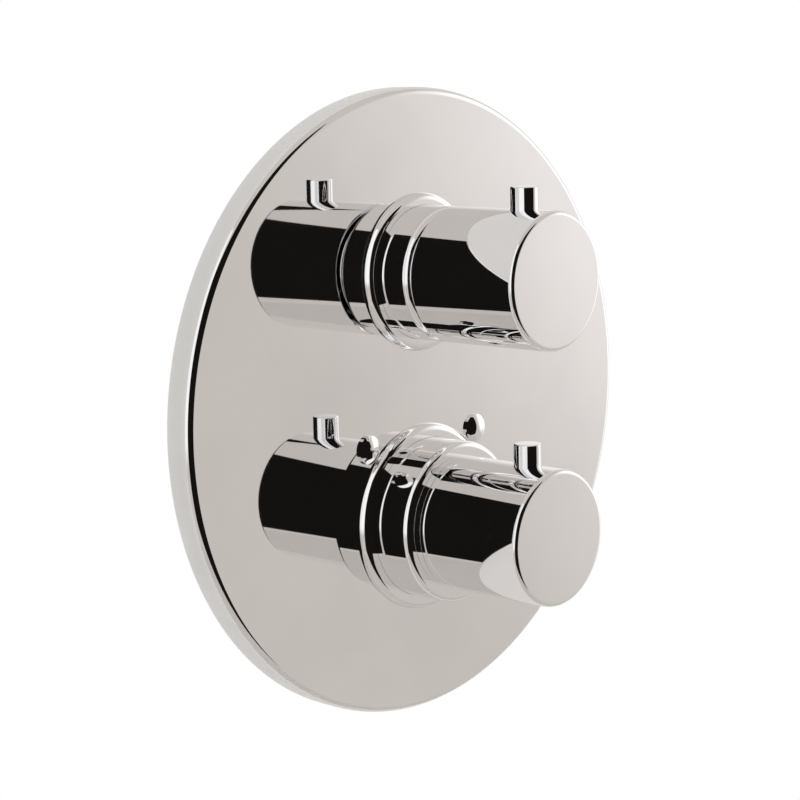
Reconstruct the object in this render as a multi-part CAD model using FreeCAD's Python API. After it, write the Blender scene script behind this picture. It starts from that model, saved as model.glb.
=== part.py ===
import FreeCAD, Part
import math
import os

# A concealed thermostatic shower valve: a round cover plate on the finished
# wall, an upper flow knob and a lower temperature knob, and behind the plate
# the brass valve with its two cartridges and two non-return valves.
#
# Frame: the origin is the centre of the plate's back, on the finished wall.
# X runs to the right, Y into the wall and Z up. Turned pieces are drawn as
# (radius, reach) outlines, where reach is the distance out from the wall's
# face and is negative inside the wall. Millimetres.

# ---- cover plate ----
PLATE_D = 200.0
PLATE_REACH = 8.9
PLATE_SHEET = 1.5
PLATE_EDGE_R = 1.7
PLATE_SEAL_W = 5.0
AXIS_SPACING = 78.8
AXIS_RAISE = 2.6

# ---- knobs, levers and what shows behind them ----
KNOB_D = 42.5
KNOB_REACH = 64.8
KNOB_EDGE_R = 1.4
KNOB_BACK_R = 0.3
KNOB_WALL = 2.45
KNOB_FACE = 3.3
KNOB_GAP = 0.4
HUB_R = 11.0
HUB_BACK = 34.0
HUB_END_T = 8.75
LEVER_D = 8.5
LEVER_STANDS = 7.0
LEVER_SETBACK = 12.4
LEVER_EDGE_R = 0.5
LEVER_SEAT = 1.25
LEVER_STEM_R = 3.0
LEVER_GRIP = 1.5
GRUB_R = 2.45
GRUB_L = 4.6
GRUB_REACH = 44.0
GRUB_KEY = 2.5
GRUB_KEY_DEPTH = 2.3
FLANGE_T = 2.4
FLANGE_EDGE_R = 2.3
FLANGE_SPIGOT_L = 4.9
FLANGE_SPIGOT_WALL = 0.95
FLANGE_SEAL_R = 1.0
FLOW_FLANGE_D = 50.2
FLOW_SLEEVE_REACH = 23.7
FLOW_SLEEVE_EDGE_R = 2.5
FLOW_SLEEVE_WALL = 2.35
FLOW_NOSE_STEP = 2.7
FLOW_NOSE_L = 0.8
TEMP_FLANGE_D = 60.2
SHROUD_D = 51.4
SHROUD_REACH = 25.2
SHROUD_EDGE_R = 1.8
SHROUD_WALL = 1.6
SHROUD_COLLAR_L = 0.9
NOSE_BORE_R = 12.0
SLEEVE_GRIP = 10.0
FRONT_WEB = 2.2

# ---- plate screws and their domed caps ----
SCREW_OFFSET = 25.2
SCREW_SHANK_R = 2.0
SCREW_HEAD_R = 3.0
SCREW_HEAD_T = 0.7
SCREW_HEAD_EDGE_R = 0.23
SCREW_L = 34.0
SCREW_SLOT_W = 0.9
SCREW_SLOT_DEPTH = 0.4
CAP_D = 8.6
CAP_H = 2.0
CAP_RIM_H = 0.4
CAP_WALL = 0.4

# ---- fits ----
SLIP = 0.05
LOOSE = 0.3
LAP = 0.05
THREAD_PLAY = 0.1
BARREL_PLAY = 0.1
SLIDE_PLAY = 0.4
OVERCUT = 1.0

# ---- brass valve body ----
SOCKET_FRONT = 3.0
FLOW_SOCKET_FRONT = -2.0
SOCKET_WALL = 6.0
FLOW_SOCKET_R = 20.0
SOCKET_THREAD_L = 15.0
FLOW_THREAD_L = 12.0
NUT_THREAD_R = 17.0
BARREL_BORE_R = 15.0
SHOULDER_REACH = -12.0
CHAMBER_R = 19.0
CHAMBER_DROP = 12.0
CHAMBER_L = 10.0
CHAMBER_WEB = 4.5
MIX_CHAMBER_L = 13.0
MIX_R = 17.0
BACK_WALL = 4.0
FLOW_BORE_R = 12.1
FLOW_CHAMBER_DROP = 16.0
FLOW_CHAMBER_L = 20.0
FLOW_CHAMBER_R = 16.5
SEAT_HOLE_R = 6.3
SEAT_T = 8.0
TAIL_R = 9.0
TAIL_WALL = 4.0
RISER_R = 6.5
RISER_WALL = 4.0
INLET_SPAN = 124.0
PORT_R = 9.32
PORT_THREAD_L = 15.0
PORT_WALL = 5.7
PORT_EDGE_R = 1.0
CAST_EDGE_R = 3.0
TAIL_EDGE_R = 2.0
CHECK_BORE_R = 9.0
CHECK_BORE_L = 16.0
CHECK_RELIEF_R = 7.4
CHECK_RELIEF_L = 3.5
PASSAGE_R = 4.0
OUTLET_HEIGHT = 40.0
OUTLET_PASSAGE_R = 7.5
FIXING_SPACING_X = 90.0
FIXING_SPACING_Z = 30.0
FIXING_HOLE_R = 2.75
FIXING_MARGIN = 7.0
FIXING_CORNER_R = 6.0
FIXING_T = 5.0
SCREW_BOSS_R = 5.0
SCREW_BOSS_FRONT = -8.0
SCREW_BOSS_L = 20.0
SCREW_RIB_T = 6.0

# ---- splined spindles ----
SPLINE_TEETH = 20
SPLINE_R = 3.95
SPLINE_DEPTH = 0.4
SPLINE_GAP = 0.1
SPLINE_END = 34.0
SPLINE_ROOM = 1.0
SHAFT_R = 5.0
SHAFT_TOP = 14.0
STEM_SEAL_R = 0.8
STEM_SEAL_DROPS = (8.0, 13.5)
CLIP_R = 7.0
RETAINER_T = 0.8
RETAINER_OPEN = 50.0
ADAPTOR_R = 7.5
ADAPTOR_LIFT = 1.0

# ---- flow headwork ----
HEADWORK_NECK_R = 8.0
HEADWORK_HEX = 27.0
HEADWORK_HEX_T = 6.0
HEADWORK_TAIL_R = 10.5
HEADWORK_STEP = 2.0
HEADWORK_FOOT_GAP = 1.0
DISC_BORE_R = 9.0
DISC_T = 3.5
DISC_SEAL_T = 2.95
DISC_HOLE_INNER_R = 3.0
DISC_HOLE_OUTER_R = 7.0
DISC_HOLE_ARC = 70.0
DISC_TAB_W = 3.0
DRIVER_W = 7.0
DRIVER_T = 3.0
DOG_R = 1.2
DOG_L = 1.5
DOG_RADIUS = 6.0
FLOW_TURN = 90.0
FLOW_LUG_ARC = 60.0
FLOW_LUG_T = 2.0
FLOW_STOP_R = 6.5
STOP_PLAY = 1.5
WINDOW_COUNT = 4
WINDOW_W = 7.0
WINDOW_DROP = 3.8
WINDOW_SILL = 0.6

# ---- thermostatic cartridge ----
CARTRIDGE_NECK_R = 9.0
CARTRIDGE_FLANGE_T = 4.0
CARTRIDGE_NUT_HEX = 27.0
CARTRIDGE_NUT_HEAD = 4.0
CARTRIDGE_LAP = 4.3
CARTRIDGE_LAP_R = 12.6
COLLAR_R = 6.8
COLLAR_LIFT = 5.7
COLLAR_T = 2.8
LEAD_R = 4.0
LEAD_OVERRUN = 3.0
SLIDE_BORE_R = 9.4
KEY_COUNT = 4
KEY_W = 3.0
KEY_DEPTH = 1.2
FOLLOWER_RUN = 1.5
FOLLOWER_NUT_L = 6.0
FOLLOWER_L = 15.0
FOLLOWER_WALL = 1.2
THRUST_SET = 1.5
THRUST_T = 1.6
RETAINER_BITE = 0.5
RETAINER_W = 1.3
SEAT_SET = 4.7
SEAT_RING_T = 2.0
SEAT_RING_R = 8.6
SHUTTLE_BORE_R = 11.0
SHUTTLE_WALL = 2.4
SHUTTLE_LIFT = 1.2
SHUTTLE_WEB_T = 3.0
SHUTTLE_HOLES = 6
SHUTTLE_HOLE_R = 1.3
SHUTTLE_SEAL_R = 0.75
PORT_WINDOWS = 6
PORT_WINDOW_ARC = 34.0
PORT_WINDOW_L = 3.4
CAGE_WALL = 2.4
CAGE_FLOOR_T = 2.0
CAGE_SLOT_INSET = 0.5
CAGE_SILL = 1.0
CAGE_GAP = 3.0
BARREL_SEAL_RISE = 4.0
BARREL_SEAL_R = 0.7
ROD_R = 1.5
GUIDE_R = 4.0
GUIDE_STANDS = 3.0
GUIDE_EDGE_R = 0.5
ELEMENT_NECK_R = 4.8
ELEMENT_NECK_L = 10.0
ELEMENT_FLANGE_R = 8.0
ELEMENT_FLANGE_T = 2.0
BULB_R = 5.5
BULB_EDGE_R = 1.5
BULB_GAP = 2.0
SPRING_WIRE_R = 0.7
OVERLOAD_TURNS = 3
OVERLOAD_RADIUS = 6.2
RETURN_TURNS = 4
RETURN_RADIUS = 7.2

# ---- temperature stop ----
TEMP_COLD_TURN = 150.0
TEMP_HOT_TURN = 60.0
STOP_RING_R = 12.6
STOP_RING_DROP = 1.0
STOP_RING_T = 4.0
STOP_TRACK_R = 16.2
LIMIT_LIFT = 3.0
LIMIT_T = 2.5
FINGER_ARC = 14.0
FINGER_L = 7.0

# ---- non-return valves and strainers ----
CHECK_SEAT_L = 4.0
CHECK_SEAT_R = 5.5
CHECK_WALL = 1.3
CHECK_GUIDE_T = 2.0
CHECK_HUB_R = 2.8
CHECK_ARM_W = 2.2
CHECK_ARMS = 3
POPPET_R = 6.6
POPPET_T = 2.0
POPPET_NOSE_L = 1.2
POPPET_NOSE_TAPER = 2.0
POPPET_STEM_R = 1.5
CHECK_SPRING_RADIUS = 3.8
CHECK_SPRING_WIRE_R = 0.4
CHECK_SPRING_TURNS = 3
STRAINER_PLAY = 0.12
STRAINER_T = 0.8
STRAINER_SET = 0.4
STRAINER_HOLE_R = 0.9
STRAINER_PITCH = 3.2
STRAINER_ROW_COUNT = 3

# ---- worked out from the sizes above ----
flow_z = AXIS_RAISE + AXIS_SPACING / 2
temp_z = AXIS_RAISE - AXIS_SPACING / 2
plate_r = PLATE_D / 2
knob_r = KNOB_D / 2
lever_r = LEVER_D / 2
plate_inside = PLATE_REACH - PLATE_SHEET
nose_reach = FLOW_SLEEVE_REACH + FLOW_NOSE_L
collar_reach = SHROUD_REACH + SHROUD_COLLAR_L
flow_knob_back = nose_reach + KNOB_GAP
temp_knob_back = collar_reach + KNOB_GAP
hub_floor = KNOB_REACH - HUB_END_T
lever_reach = KNOB_REACH - LEVER_SETBACK
shroud_r = SHROUD_D / 2
flow_sleeve_bore = knob_r - FLOW_SLEEVE_WALL
shroud_bore = shroud_r - SHROUD_WALL
flow_spigot_r = knob_r + SLIP + FLANGE_SPIGOT_WALL
temp_spigot_r = shroud_r + SLIP + FLANGE_SPIGOT_WALL
screw_z = temp_z + SCREW_OFFSET
temp_socket_r = CHAMBER_R + SOCKET_WALL

# chambers of the body, front to back
cold_front = SHOULDER_REACH - CHAMBER_DROP
cold_back = cold_front - CHAMBER_L
hot_front = cold_back - CHAMBER_WEB
hot_back = hot_front - CHAMBER_L
mix_front = hot_back - CHAMBER_WEB
mix_back = mix_front - MIX_CHAMBER_L
body_back = mix_back - BACK_WALL
shutoff_front = FLOW_SOCKET_FRONT - FLOW_CHAMBER_DROP
shutoff_back = shutoff_front - FLOW_CHAMBER_L
seat_back = shutoff_back - SEAT_T
riser_depth = -(mix_front + mix_back) / 2
outlet_depth = -(shutoff_front + shutoff_back) / 2
inlet_depths = {-1: -(hot_front + hot_back) / 2, 1: -(cold_front + cold_back) / 2}

# inlets, from the mouth inwards
port_mouth = INLET_SPAN / 2
port_floor = port_mouth - PORT_THREAD_L
strainer_face = port_floor - STRAINER_SET
check_mouth = strainer_face - STRAINER_T
check_floor = check_mouth - CHECK_BORE_L
check_seat = check_mouth - CHECK_SEAT_L
check_r = CHECK_BORE_R - BARREL_PLAY
strainer_r = CHECK_BORE_R - STRAINER_PLAY

# thermostatic cartridge, from its flange inwards
barrel_r = BARREL_BORE_R - BARREL_PLAY
cartridge_split = hot_front - LOOSE
barrel_seals = (cold_front + BARREL_SEAL_RISE, (cold_back + hot_front) / 2, (hot_back + mix_front) / 2)
collar_top = SHOULDER_REACH + COLLAR_LIFT
collar_low = collar_top - COLLAR_T
slide_top = collar_low - SLIDE_PLAY
key_r = SLIDE_BORE_R + KEY_DEPTH
follower_r = SLIDE_BORE_R - SLIDE_PLAY
follower_top = slide_top - FOLLOWER_RUN
follower_floor = follower_top - FOLLOWER_NUT_L
follower_end = follower_top - FOLLOWER_L
lead_end = follower_floor - LEAD_OVERRUN
thrust_face = follower_end + THRUST_SET
cold_seat = cold_back + SEAT_SET
hot_seat = hot_back + SEAT_SET
shuttle_r = SHUTTLE_BORE_R - SLIDE_PLAY
shuttle_front = cold_seat - SHUTTLE_LIFT
shuttle_back = hot_seat + SHUTTLE_LIFT
shuttle_middle = (cold_seat + hot_seat) / 2
web_front = shuttle_middle + SHUTTLE_WEB_T / 2
web_back = shuttle_middle - SHUTTLE_WEB_T / 2
guide_top = web_front + GUIDE_STANDS
element_flange_front = web_back - ELEMENT_NECK_L
element_flange_back = element_flange_front - ELEMENT_FLANGE_T
bulb_end = mix_back + BULB_GAP
cage_end = mix_back + CAGE_GAP
cage_floor = cage_end + CAGE_FLOOR_T

# spindles, stops and adaptors
stem_seal_reaches = [SHAFT_TOP - drop for drop in STEM_SEAL_DROPS]
stop_high = SHAFT_TOP - STOP_RING_DROP
stop_low = stop_high - STOP_RING_T
limit_low = SHAFT_TOP + LIMIT_LIFT
limit_high = limit_low + LIMIT_T
adaptor_back = limit_high + ADAPTOR_LIFT

# flow headwork, from its seal up
disc_top = shutoff_back + DISC_SEAL_T + LAP + 2 * DISC_T
window_high = shutoff_front - WINDOW_DROP
window_low = disc_top + WINDOW_SILL
flow_lug_top = window_high + LOOSE + FLOW_LUG_T

pieces = {}


def vec(x, y, z):
    return FreeCAD.Vector(x, y, z)


def out_from_wall(x, z):
    """Place a piece with its own Z out from the wall, X right and Y up."""
    return FreeCAD.Placement(vec(x, 0, z), FreeCAD.Rotation(vec(1, 0, 0), 90))


def sideways(sign):
    """Place a piece with its own Z along the left (-1) or right (1) inlet, away from the valve."""
    turn = FreeCAD.Rotation(vec(0, 0, 1), vec(sign, 0, 0))
    return FreeCAD.Placement(vec(0, inlet_depths[sign], temp_z), turn)


def upwards(depth, z):
    """Place a piece with its own Z up, at a depth inside the wall."""
    return FreeCAD.Placement(vec(0, depth, z), FreeCAD.Rotation())


FLOW = out_from_wall(0, flow_z)
TEMP = out_from_wall(0, temp_z)


def rounded_wire(points):
    """A closed wire through (x, y, corner radius) points in the XY plane."""
    count = len(points)
    corners = [vec(p[0], p[1], 0) for p in points]
    stretches = []
    for i, here in enumerate(corners):
        radius = points[i][2] if len(points[i]) > 2 else 0
        if radius == 0:
            stretches.append((here, None, here))
            continue
        back = (corners[i - 1] - here).normalize()
        ahead = (corners[(i + 1) % count] - here).normalize()
        half = back.getAngle(ahead) / 2
        inward = (back + ahead).normalize()
        cut = radius / math.tan(half)
        middle = here + inward * (radius / math.sin(half) - radius)
        stretches.append((here + back * cut, middle, here + ahead * cut))
    edges = []
    for i, (start, middle, end) in enumerate(stretches):
        if middle is not None:
            edges.append(Part.Arc(start, middle, end).toShape())
        following = stretches[(i + 1) % count][0]
        if end.distanceToPoint(following) > 1e-6:
            edges.append(Part.LineSegment(end, following).toShape())
    return Part.Wire(edges)


def turned(points, where):
    """Revolve a (radius, reach, corner radius) outline about its own axis."""
    face = Part.Face(rounded_wire(points))
    face.rotate(vec(0, 0, 0), vec(1, 0, 0), 90)
    solid = face.revolve(vec(0, 0, 0), vec(0, 0, 1), 360)
    solid.Placement = where.multiply(solid.Placement)
    return solid


def tube(outer, inner, low, high, where):
    """A plain ring, or a disc where the inner radius is nothing."""
    ring = Part.makeCylinder(outer, high - low, vec(0, 0, low))
    if inner > 0:
        ring = ring.cut(Part.makeCylinder(inner, high - low, vec(0, 0, low)))
    ring.Placement = where.multiply(ring.Placement)
    return ring


def sector(outer, inner, low, high, middle, width, where):
    """Part of a ring, centred on an angle from the right towards the top."""
    wedge = Part.makeCylinder(outer, high - low, vec(0, 0, low), vec(0, 0, 1), width)
    wedge = wedge.cut(Part.makeCylinder(inner, high - low, vec(0, 0, low)))
    wedge.rotate(vec(0, 0, 0), vec(0, 0, 1), middle - width / 2)
    wedge.Placement = where.multiply(wedge.Placement)
    return wedge


def block(x, y, low, high, where):
    """A bar centred on its own axis."""
    bar = Part.makeBox(x, y, high - low, vec(-x / 2, -y / 2, low))
    bar.Placement = where.multiply(bar.Placement)
    return bar


def prism(corners, low, high, where):
    """A straight bar with a polygon for its section."""
    ring = [vec(x, y, low) for x, y in corners]
    face = Part.Face(Part.makePolygon(ring + ring[:1]))
    bar = face.extrude(vec(0, 0, high - low))
    bar.Placement = where.multiply(bar.Placement)
    return bar


def hexagon(across_flats, low, high, where):
    radius = across_flats / math.sqrt(3)
    corners = []
    for i in range(6):
        angle = math.radians(60 * i)
        corners.append((radius * math.cos(angle), radius * math.sin(angle)))
    return prism(corners, low, high, where)


def splined(tip, low, high, where):
    """A toothed bar: the spindles' ends, and the holes that fit them."""
    corners = []
    for i in range(2 * SPLINE_TEETH):
        radius = tip - SPLINE_DEPTH * (i % 2)
        angle = math.pi * i / SPLINE_TEETH
        corners.append((radius * math.cos(angle), radius * math.sin(angle)))
    return prism(corners, low, high, where)


def dome(radius, low, shoulder, top, where):
    """A round bar with a spherical end."""
    height = top - shoulder
    ball = (radius ** 2 + height ** 2) / (2 * height)
    lean = math.asin(radius / ball) / 2
    crown = vec(ball * math.sin(lean), 0, top - ball + ball * math.cos(lean))
    corners = [vec(0, 0, top), vec(0, 0, low), vec(radius, 0, low), vec(radius, 0, shoulder)]
    arc = Part.Arc(corners[-1], crown, corners[0]).toShape()
    side = Part.makePolygon(corners)
    solid = Part.Face(Part.Wire(side.Edges + [arc])).revolve(vec(0, 0, 0), vec(0, 0, 1), 360)
    solid.Placement = where.multiply(solid.Placement)
    return solid


def o_ring(middle_r, section_r, reach, where):
    ring = Part.makeTorus(middle_r, section_r, vec(0, 0, reach))
    ring.Placement = where.multiply(ring.Placement)
    return ring


def arc_from(start, heading, end):
    """The circular arc that leaves a point along a heading and ends at another."""
    along = (end - start).normalize()
    aside = (heading - along * heading.dot(along)).normalize()
    bulge = start.distanceToPoint(end) / 2 * math.tan(heading.getAngle(along) / 2)
    return Part.Arc(start, (start + end) * 0.5 + aside * bulge, end).toShape()


def two_arcs(start, heading, end, final):
    """Two arcs that meet smoothly and keep the heading at both ends."""
    span = end - start
    turn = heading.dot(final)
    both = span.dot(heading + final)
    reach = (math.sqrt(both * both + 2 * (1 - turn) * span.dot(span)) - both) / (2 * (1 - turn))
    first = start + heading * reach
    last = end - final * reach
    joint = (first + last) * 0.5
    return [arc_from(start, heading, joint), arc_from(joint, (last - first).normalize(), end)]


def coil(radius, wire_r, low, high, turns, where):
    """A compression spring between two faces, bent a quarter turn at a time."""
    rise = (high - low - 2 * wire_r) / turns
    points = []
    for i in range(4 * turns + 1):
        angle = math.pi / 2 * i
        place = vec(radius * math.cos(angle), radius * math.sin(angle), low + wire_r + rise * i / 4)
        slope = vec(-radius * math.sin(angle), radius * math.cos(angle), rise / (2 * math.pi))
        points.append((place, slope.normalize()))
    edges = []
    for (start, heading), (end, final) in zip(points, points[1:]):
        edges += two_arcs(start, heading, end, final)
    section = Part.Wire(Part.makeCircle(wire_r, points[0][0], points[0][1]))
    spring = Part.Wire(edges).makePipeShell([section], True)
    spring.Placement = where.multiply(spring.Placement)
    return spring


def around(count, first=0.0):
    """Evenly spaced angles."""
    return [first + 360.0 * i / count for i in range(count)]


def across(radius, low, high, reach, angle, where):
    """A round bar or hole that crosses the axis, from one radius to another."""
    direction = vec(math.cos(math.radians(angle)), math.sin(math.radians(angle)), 0)
    start = vec(0, 0, reach) + direction * low
    bar = Part.makeCylinder(radius, high - low, start, direction)
    bar.Placement = where.multiply(bar.Placement)
    return bar


def polar(radius, angle):
    turn = math.radians(angle)
    return radius * math.cos(turn), radius * math.sin(turn)


# ---- cover plate ----
def screw_places():
    return [out_from_wall(side * SCREW_OFFSET, screw_z) for side in (-1, 1)]


def cover_plate():
    inside_r = plate_r - PLATE_SHEET
    plate = turned([
        (0, plate_inside), (inside_r, plate_inside), (inside_r, 0),
        (plate_r, 0), (plate_r, PLATE_REACH, PLATE_EDGE_R), (0, PLATE_REACH),
    ], out_from_wall(0, 0))
    holes = [
        tube(flow_spigot_r + LOOSE, 0, 0, PLATE_REACH, FLOW),
        tube(temp_spigot_r + LOOSE, 0, 0, PLATE_REACH, TEMP),
    ]
    for place in screw_places():
        holes.append(tube(SCREW_SHANK_R + LOOSE, 0, 0, PLATE_REACH, place))
    return plate.cut(holes)


def plate_seal():
    outer = plate_r - PLATE_SHEET - THREAD_PLAY
    return tube(outer, outer - PLATE_SEAL_W, 0, plate_inside, out_from_wall(0, 0))


def plate_screw(place):
    head_top = PLATE_REACH + SCREW_HEAD_T
    screw = turned([
        (0, PLATE_REACH - SCREW_L), (SCREW_SHANK_R, PLATE_REACH - SCREW_L),
        (SCREW_SHANK_R, PLATE_REACH), (SCREW_HEAD_R, PLATE_REACH),
        (SCREW_HEAD_R, head_top, SCREW_HEAD_EDGE_R), (0, head_top),
    ], place)
    slot_floor = head_top - SCREW_SLOT_DEPTH
    return screw.cut(block(2 * SCREW_HEAD_R, SCREW_SLOT_W, slot_floor, head_top, place))


def screw_cap(place):
    """A low dome on a short rim, snapped over the screw's head."""
    outside = dome(CAP_D / 2, PLATE_REACH, PLATE_REACH + CAP_RIM_H, PLATE_REACH + CAP_H, place)
    rim = CAP_D / 2 - CAP_WALL
    inside = dome(rim, PLATE_REACH, PLATE_REACH + CAP_RIM_H, PLATE_REACH + CAP_H - CAP_WALL, place)
    return outside.cut(inside)


# ---- flanges and sleeves between the plate and the knobs ----
def flange(outer_d, bore_r, where):
    top = PLATE_REACH + FLANGE_T
    spigot_r = bore_r + FLANGE_SPIGOT_WALL
    return turned([
        (bore_r, PLATE_REACH - FLANGE_SPIGOT_L), (spigot_r, PLATE_REACH - FLANGE_SPIGOT_L),
        (spigot_r, PLATE_REACH), (outer_d / 2, PLATE_REACH),
        (outer_d / 2, top, FLANGE_EDGE_R), (bore_r, top),
    ], where)


def flange_seal(spigot_r, where):
    reach = plate_inside - FLANGE_SEAL_R
    return o_ring(spigot_r + FLANGE_SEAL_R, FLANGE_SEAL_R, reach, where)


def flow_sleeve():
    """The upper sleeve, with a stepped nose that runs up to the knob's back."""
    rear = FLOW_SOCKET_FRONT - SLEEVE_GRIP
    nose_r = knob_r - FLOW_NOSE_STEP
    web = FLOW_SLEEVE_REACH - FRONT_WEB
    return turned([
        (flow_sleeve_bore, rear), (knob_r, rear), (knob_r, FLOW_SLEEVE_REACH, FLOW_SLEEVE_EDGE_R),
        (nose_r, FLOW_SLEEVE_REACH), (nose_r, nose_reach), (NOSE_BORE_R, nose_reach),
        (NOSE_BORE_R, web), (flow_sleeve_bore, web),
    ], FLOW)


def temp_shroud():
    """The lower shroud: a wide drum with a short collar the knob's own size."""
    rear = SOCKET_FRONT - SLEEVE_GRIP
    web = SHROUD_REACH - FRONT_WEB
    return turned([
        (shroud_bore, rear), (shroud_r, rear), (shroud_r, SHROUD_REACH, SHROUD_EDGE_R),
        (knob_r, SHROUD_REACH), (knob_r, collar_reach, KNOB_BACK_R), (NOSE_BORE_R, collar_reach),
        (NOSE_BORE_R, web), (shroud_bore, web),
    ], TEMP)


# ---- knobs ----
def knob(back, where):
    """A cup with a hub inside, drilled for its lever and its grub screw."""
    cavity_r = knob_r - KNOB_WALL
    cavity_top = KNOB_REACH - KNOB_FACE
    hub_bore = ADAPTOR_R + SLIP
    body = turned([
        (0, KNOB_REACH), (knob_r, KNOB_REACH, KNOB_EDGE_R), (knob_r, back, KNOB_BACK_R),
        (cavity_r, back), (cavity_r, cavity_top, KNOB_EDGE_R), (HUB_R, cavity_top, KNOB_EDGE_R),
        (HUB_R, HUB_BACK), (hub_bore, HUB_BACK), (hub_bore, hub_floor), (0, hub_floor),
    ], where)
    seat = knob_r - LEVER_SEAT
    return body.cut([
        across(lever_r + SLIP, seat, knob_r + OVERCUT, lever_reach, 90, where),
        across(LEVER_STEM_R + SLIP, HUB_R - LEVER_GRIP, seat, lever_reach, 90, where),
        across(GRUB_R + SLIP, ADAPTOR_R, knob_r + OVERCUT, GRUB_REACH, -90, where),
    ])


def lever(where):
    """The pin that stands up from a knob, on a stem that screws into the hub."""
    seat = knob_r - LEVER_SEAT
    foot = HUB_R - LEVER_GRIP
    top = knob_r + LEVER_STANDS
    pin = turned([
        (0, foot), (LEVER_STEM_R, foot), (LEVER_STEM_R, seat), (lever_r, seat),
        (lever_r, top, LEVER_EDGE_R), (0, top),
    ], FreeCAD.Placement(vec(0, 0, lever_reach), FreeCAD.Rotation(vec(1, 0, 0), -90)))
    pin.Placement = where.multiply(pin.Placement)
    return pin


def grub_screw(where):
    screw = across(GRUB_R, ADAPTOR_R, ADAPTOR_R + GRUB_L, GRUB_REACH, -90, where)
    socket_place = FreeCAD.Placement(vec(0, 0, GRUB_REACH), FreeCAD.Rotation(vec(1, 0, 0), 90))
    top = ADAPTOR_R + GRUB_L
    socket = hexagon(GRUB_KEY, top - GRUB_KEY_DEPTH, top, where.multiply(socket_place))
    return screw.cut(socket)


def adaptor(where):
    """The splined plug that joins a spindle to its knob's hub."""
    plug = tube(ADAPTOR_R, 0, adaptor_back, hub_floor - SLIP, where)
    return plug.cut(splined(SPLINE_R + SPLINE_GAP, adaptor_back, SPLINE_END + SPLINE_ROOM, where))


# ---- spindles, which both cartridges share above their seals ----
def spindle_stem(low, where):
    """The sealed shaft, its clip groove and the splined end."""
    seal_groove = SHAFT_R - 2 * STEM_SEAL_R
    clip_low = SHAFT_TOP + LOOSE
    shaft = turned([
        (0, low), (SHAFT_R, low), (SHAFT_R, SHAFT_TOP), (SPLINE_R, SHAFT_TOP),
        (SPLINE_R, clip_low), (SPLINE_R - SPLINE_DEPTH, clip_low),
        (SPLINE_R - SPLINE_DEPTH, clip_low + RETAINER_T), (0, clip_low + RETAINER_T),
    ], where)
    for reach in stem_seal_reaches:
        low_side = reach - STEM_SEAL_R
        shaft = shaft.cut(tube(SHAFT_R, seal_groove, low_side, reach + STEM_SEAL_R, where))
    return shaft.fuse(splined(SPLINE_R, clip_low + RETAINER_T, SPLINE_END, where))


def stem_seals(where):
    rings = []
    for reach in stem_seal_reaches:
        rings.append(o_ring(SHAFT_R - STEM_SEAL_R, STEM_SEAL_R, reach, where))
    return Part.makeCompound(rings)


def open_ring(outer, inner, low, where):
    """A snap ring, open at the bottom so that it can spring into its groove."""
    ring = tube(outer, inner, low, low + RETAINER_T, where)
    mouth = sector(outer + OVERCUT, inner / 2, low, low + RETAINER_T, 270, RETAINER_OPEN, where)
    return ring.cut(mouth)


def spindle_clip(where):
    return open_ring(CLIP_R, SPLINE_R - SPLINE_DEPTH, SHAFT_TOP + LOOSE, where)


# ---- flow headwork ----
def headwork_body():
    """The screwed-in brass housing, with its quarter-turn stop and windows."""
    foot = shutoff_back + HEADWORK_FOOT_GAP
    step = shutoff_front + HEADWORK_STEP
    hex_low = FLOW_SOCKET_FRONT
    hex_high = hex_low + HEADWORK_HEX_T
    shaft_bore = SHAFT_R + SLIP
    body = turned([
        (shaft_bore, SHAFT_TOP), (HEADWORK_NECK_R, SHAFT_TOP), (HEADWORK_NECK_R, hex_low),
        (FLOW_BORE_R - SLIP, hex_low), (FLOW_BORE_R - SLIP, step), (HEADWORK_TAIL_R, step),
        (HEADWORK_TAIL_R, foot), (DISC_BORE_R, foot), (DISC_BORE_R, flow_lug_top),
        (shaft_bore, flow_lug_top),
    ], FLOW)
    nut = hexagon(HEADWORK_HEX, hex_low, hex_high, FLOW)
    body = body.fuse(nut.cut(tube(shaft_bore, 0, hex_low, hex_high, FLOW)))
    for angle in around(WINDOW_COUNT):
        place = FLOW.multiply(FreeCAD.Placement(vec(0, 0, 0), FreeCAD.Rotation(angle, 0, 0)))
        window = Part.makeBox(HEADWORK_TAIL_R, WINDOW_W, window_high - window_low,
                              vec(DISC_BORE_R / 2, -WINDOW_W / 2, window_low))
        window.Placement = place.multiply(window.Placement)
        body = body.cut(window)
    stop_arc = 360 - FLOW_TURN - FLOW_LUG_ARC - 2 * STOP_PLAY
    stop = sector(DISC_BORE_R, FLOW_STOP_R, flow_lug_top - FLOW_LUG_T, flow_lug_top,
                  270 + FLOW_TURN / 2, stop_arc, FLOW)
    slots = block(DISC_TAB_W + 2 * SLIP, 2 * HEADWORK_TAIL_R, foot, disc_top - DISC_T, FLOW)
    return body.fuse(stop).cut(slots)


def flow_spindle():
    """The flow spindle, with its stop lug and the bar that drives the disc."""
    low = flow_lug_top - LOOSE
    lug = sector(DISC_BORE_R - LOOSE, LEAD_R / 2, low - FLOW_LUG_T + LOOSE, low, 90, FLOW_LUG_ARC, FLOW)
    neck = tube(LEAD_R, 0, disc_top, low, FLOW)
    bar = block(2 * (DISC_BORE_R - LOOSE), DRIVER_W, disc_top, disc_top + DRIVER_T, FLOW)
    bar = bar.common(tube(DISC_BORE_R - LOOSE, 0, disc_top, disc_top + DRIVER_T, FLOW))
    spindle = spindle_stem(low, FLOW).fuse([lug, neck, bar])
    for side in (-1, 1):
        place = FLOW.multiply(FreeCAD.Placement(vec(side * DOG_RADIUS, 0, 0), FreeCAD.Rotation()))
        spindle = spindle.fuse(tube(DOG_R, 0, disc_top - DOG_L, disc_top, place))
    return spindle


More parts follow.
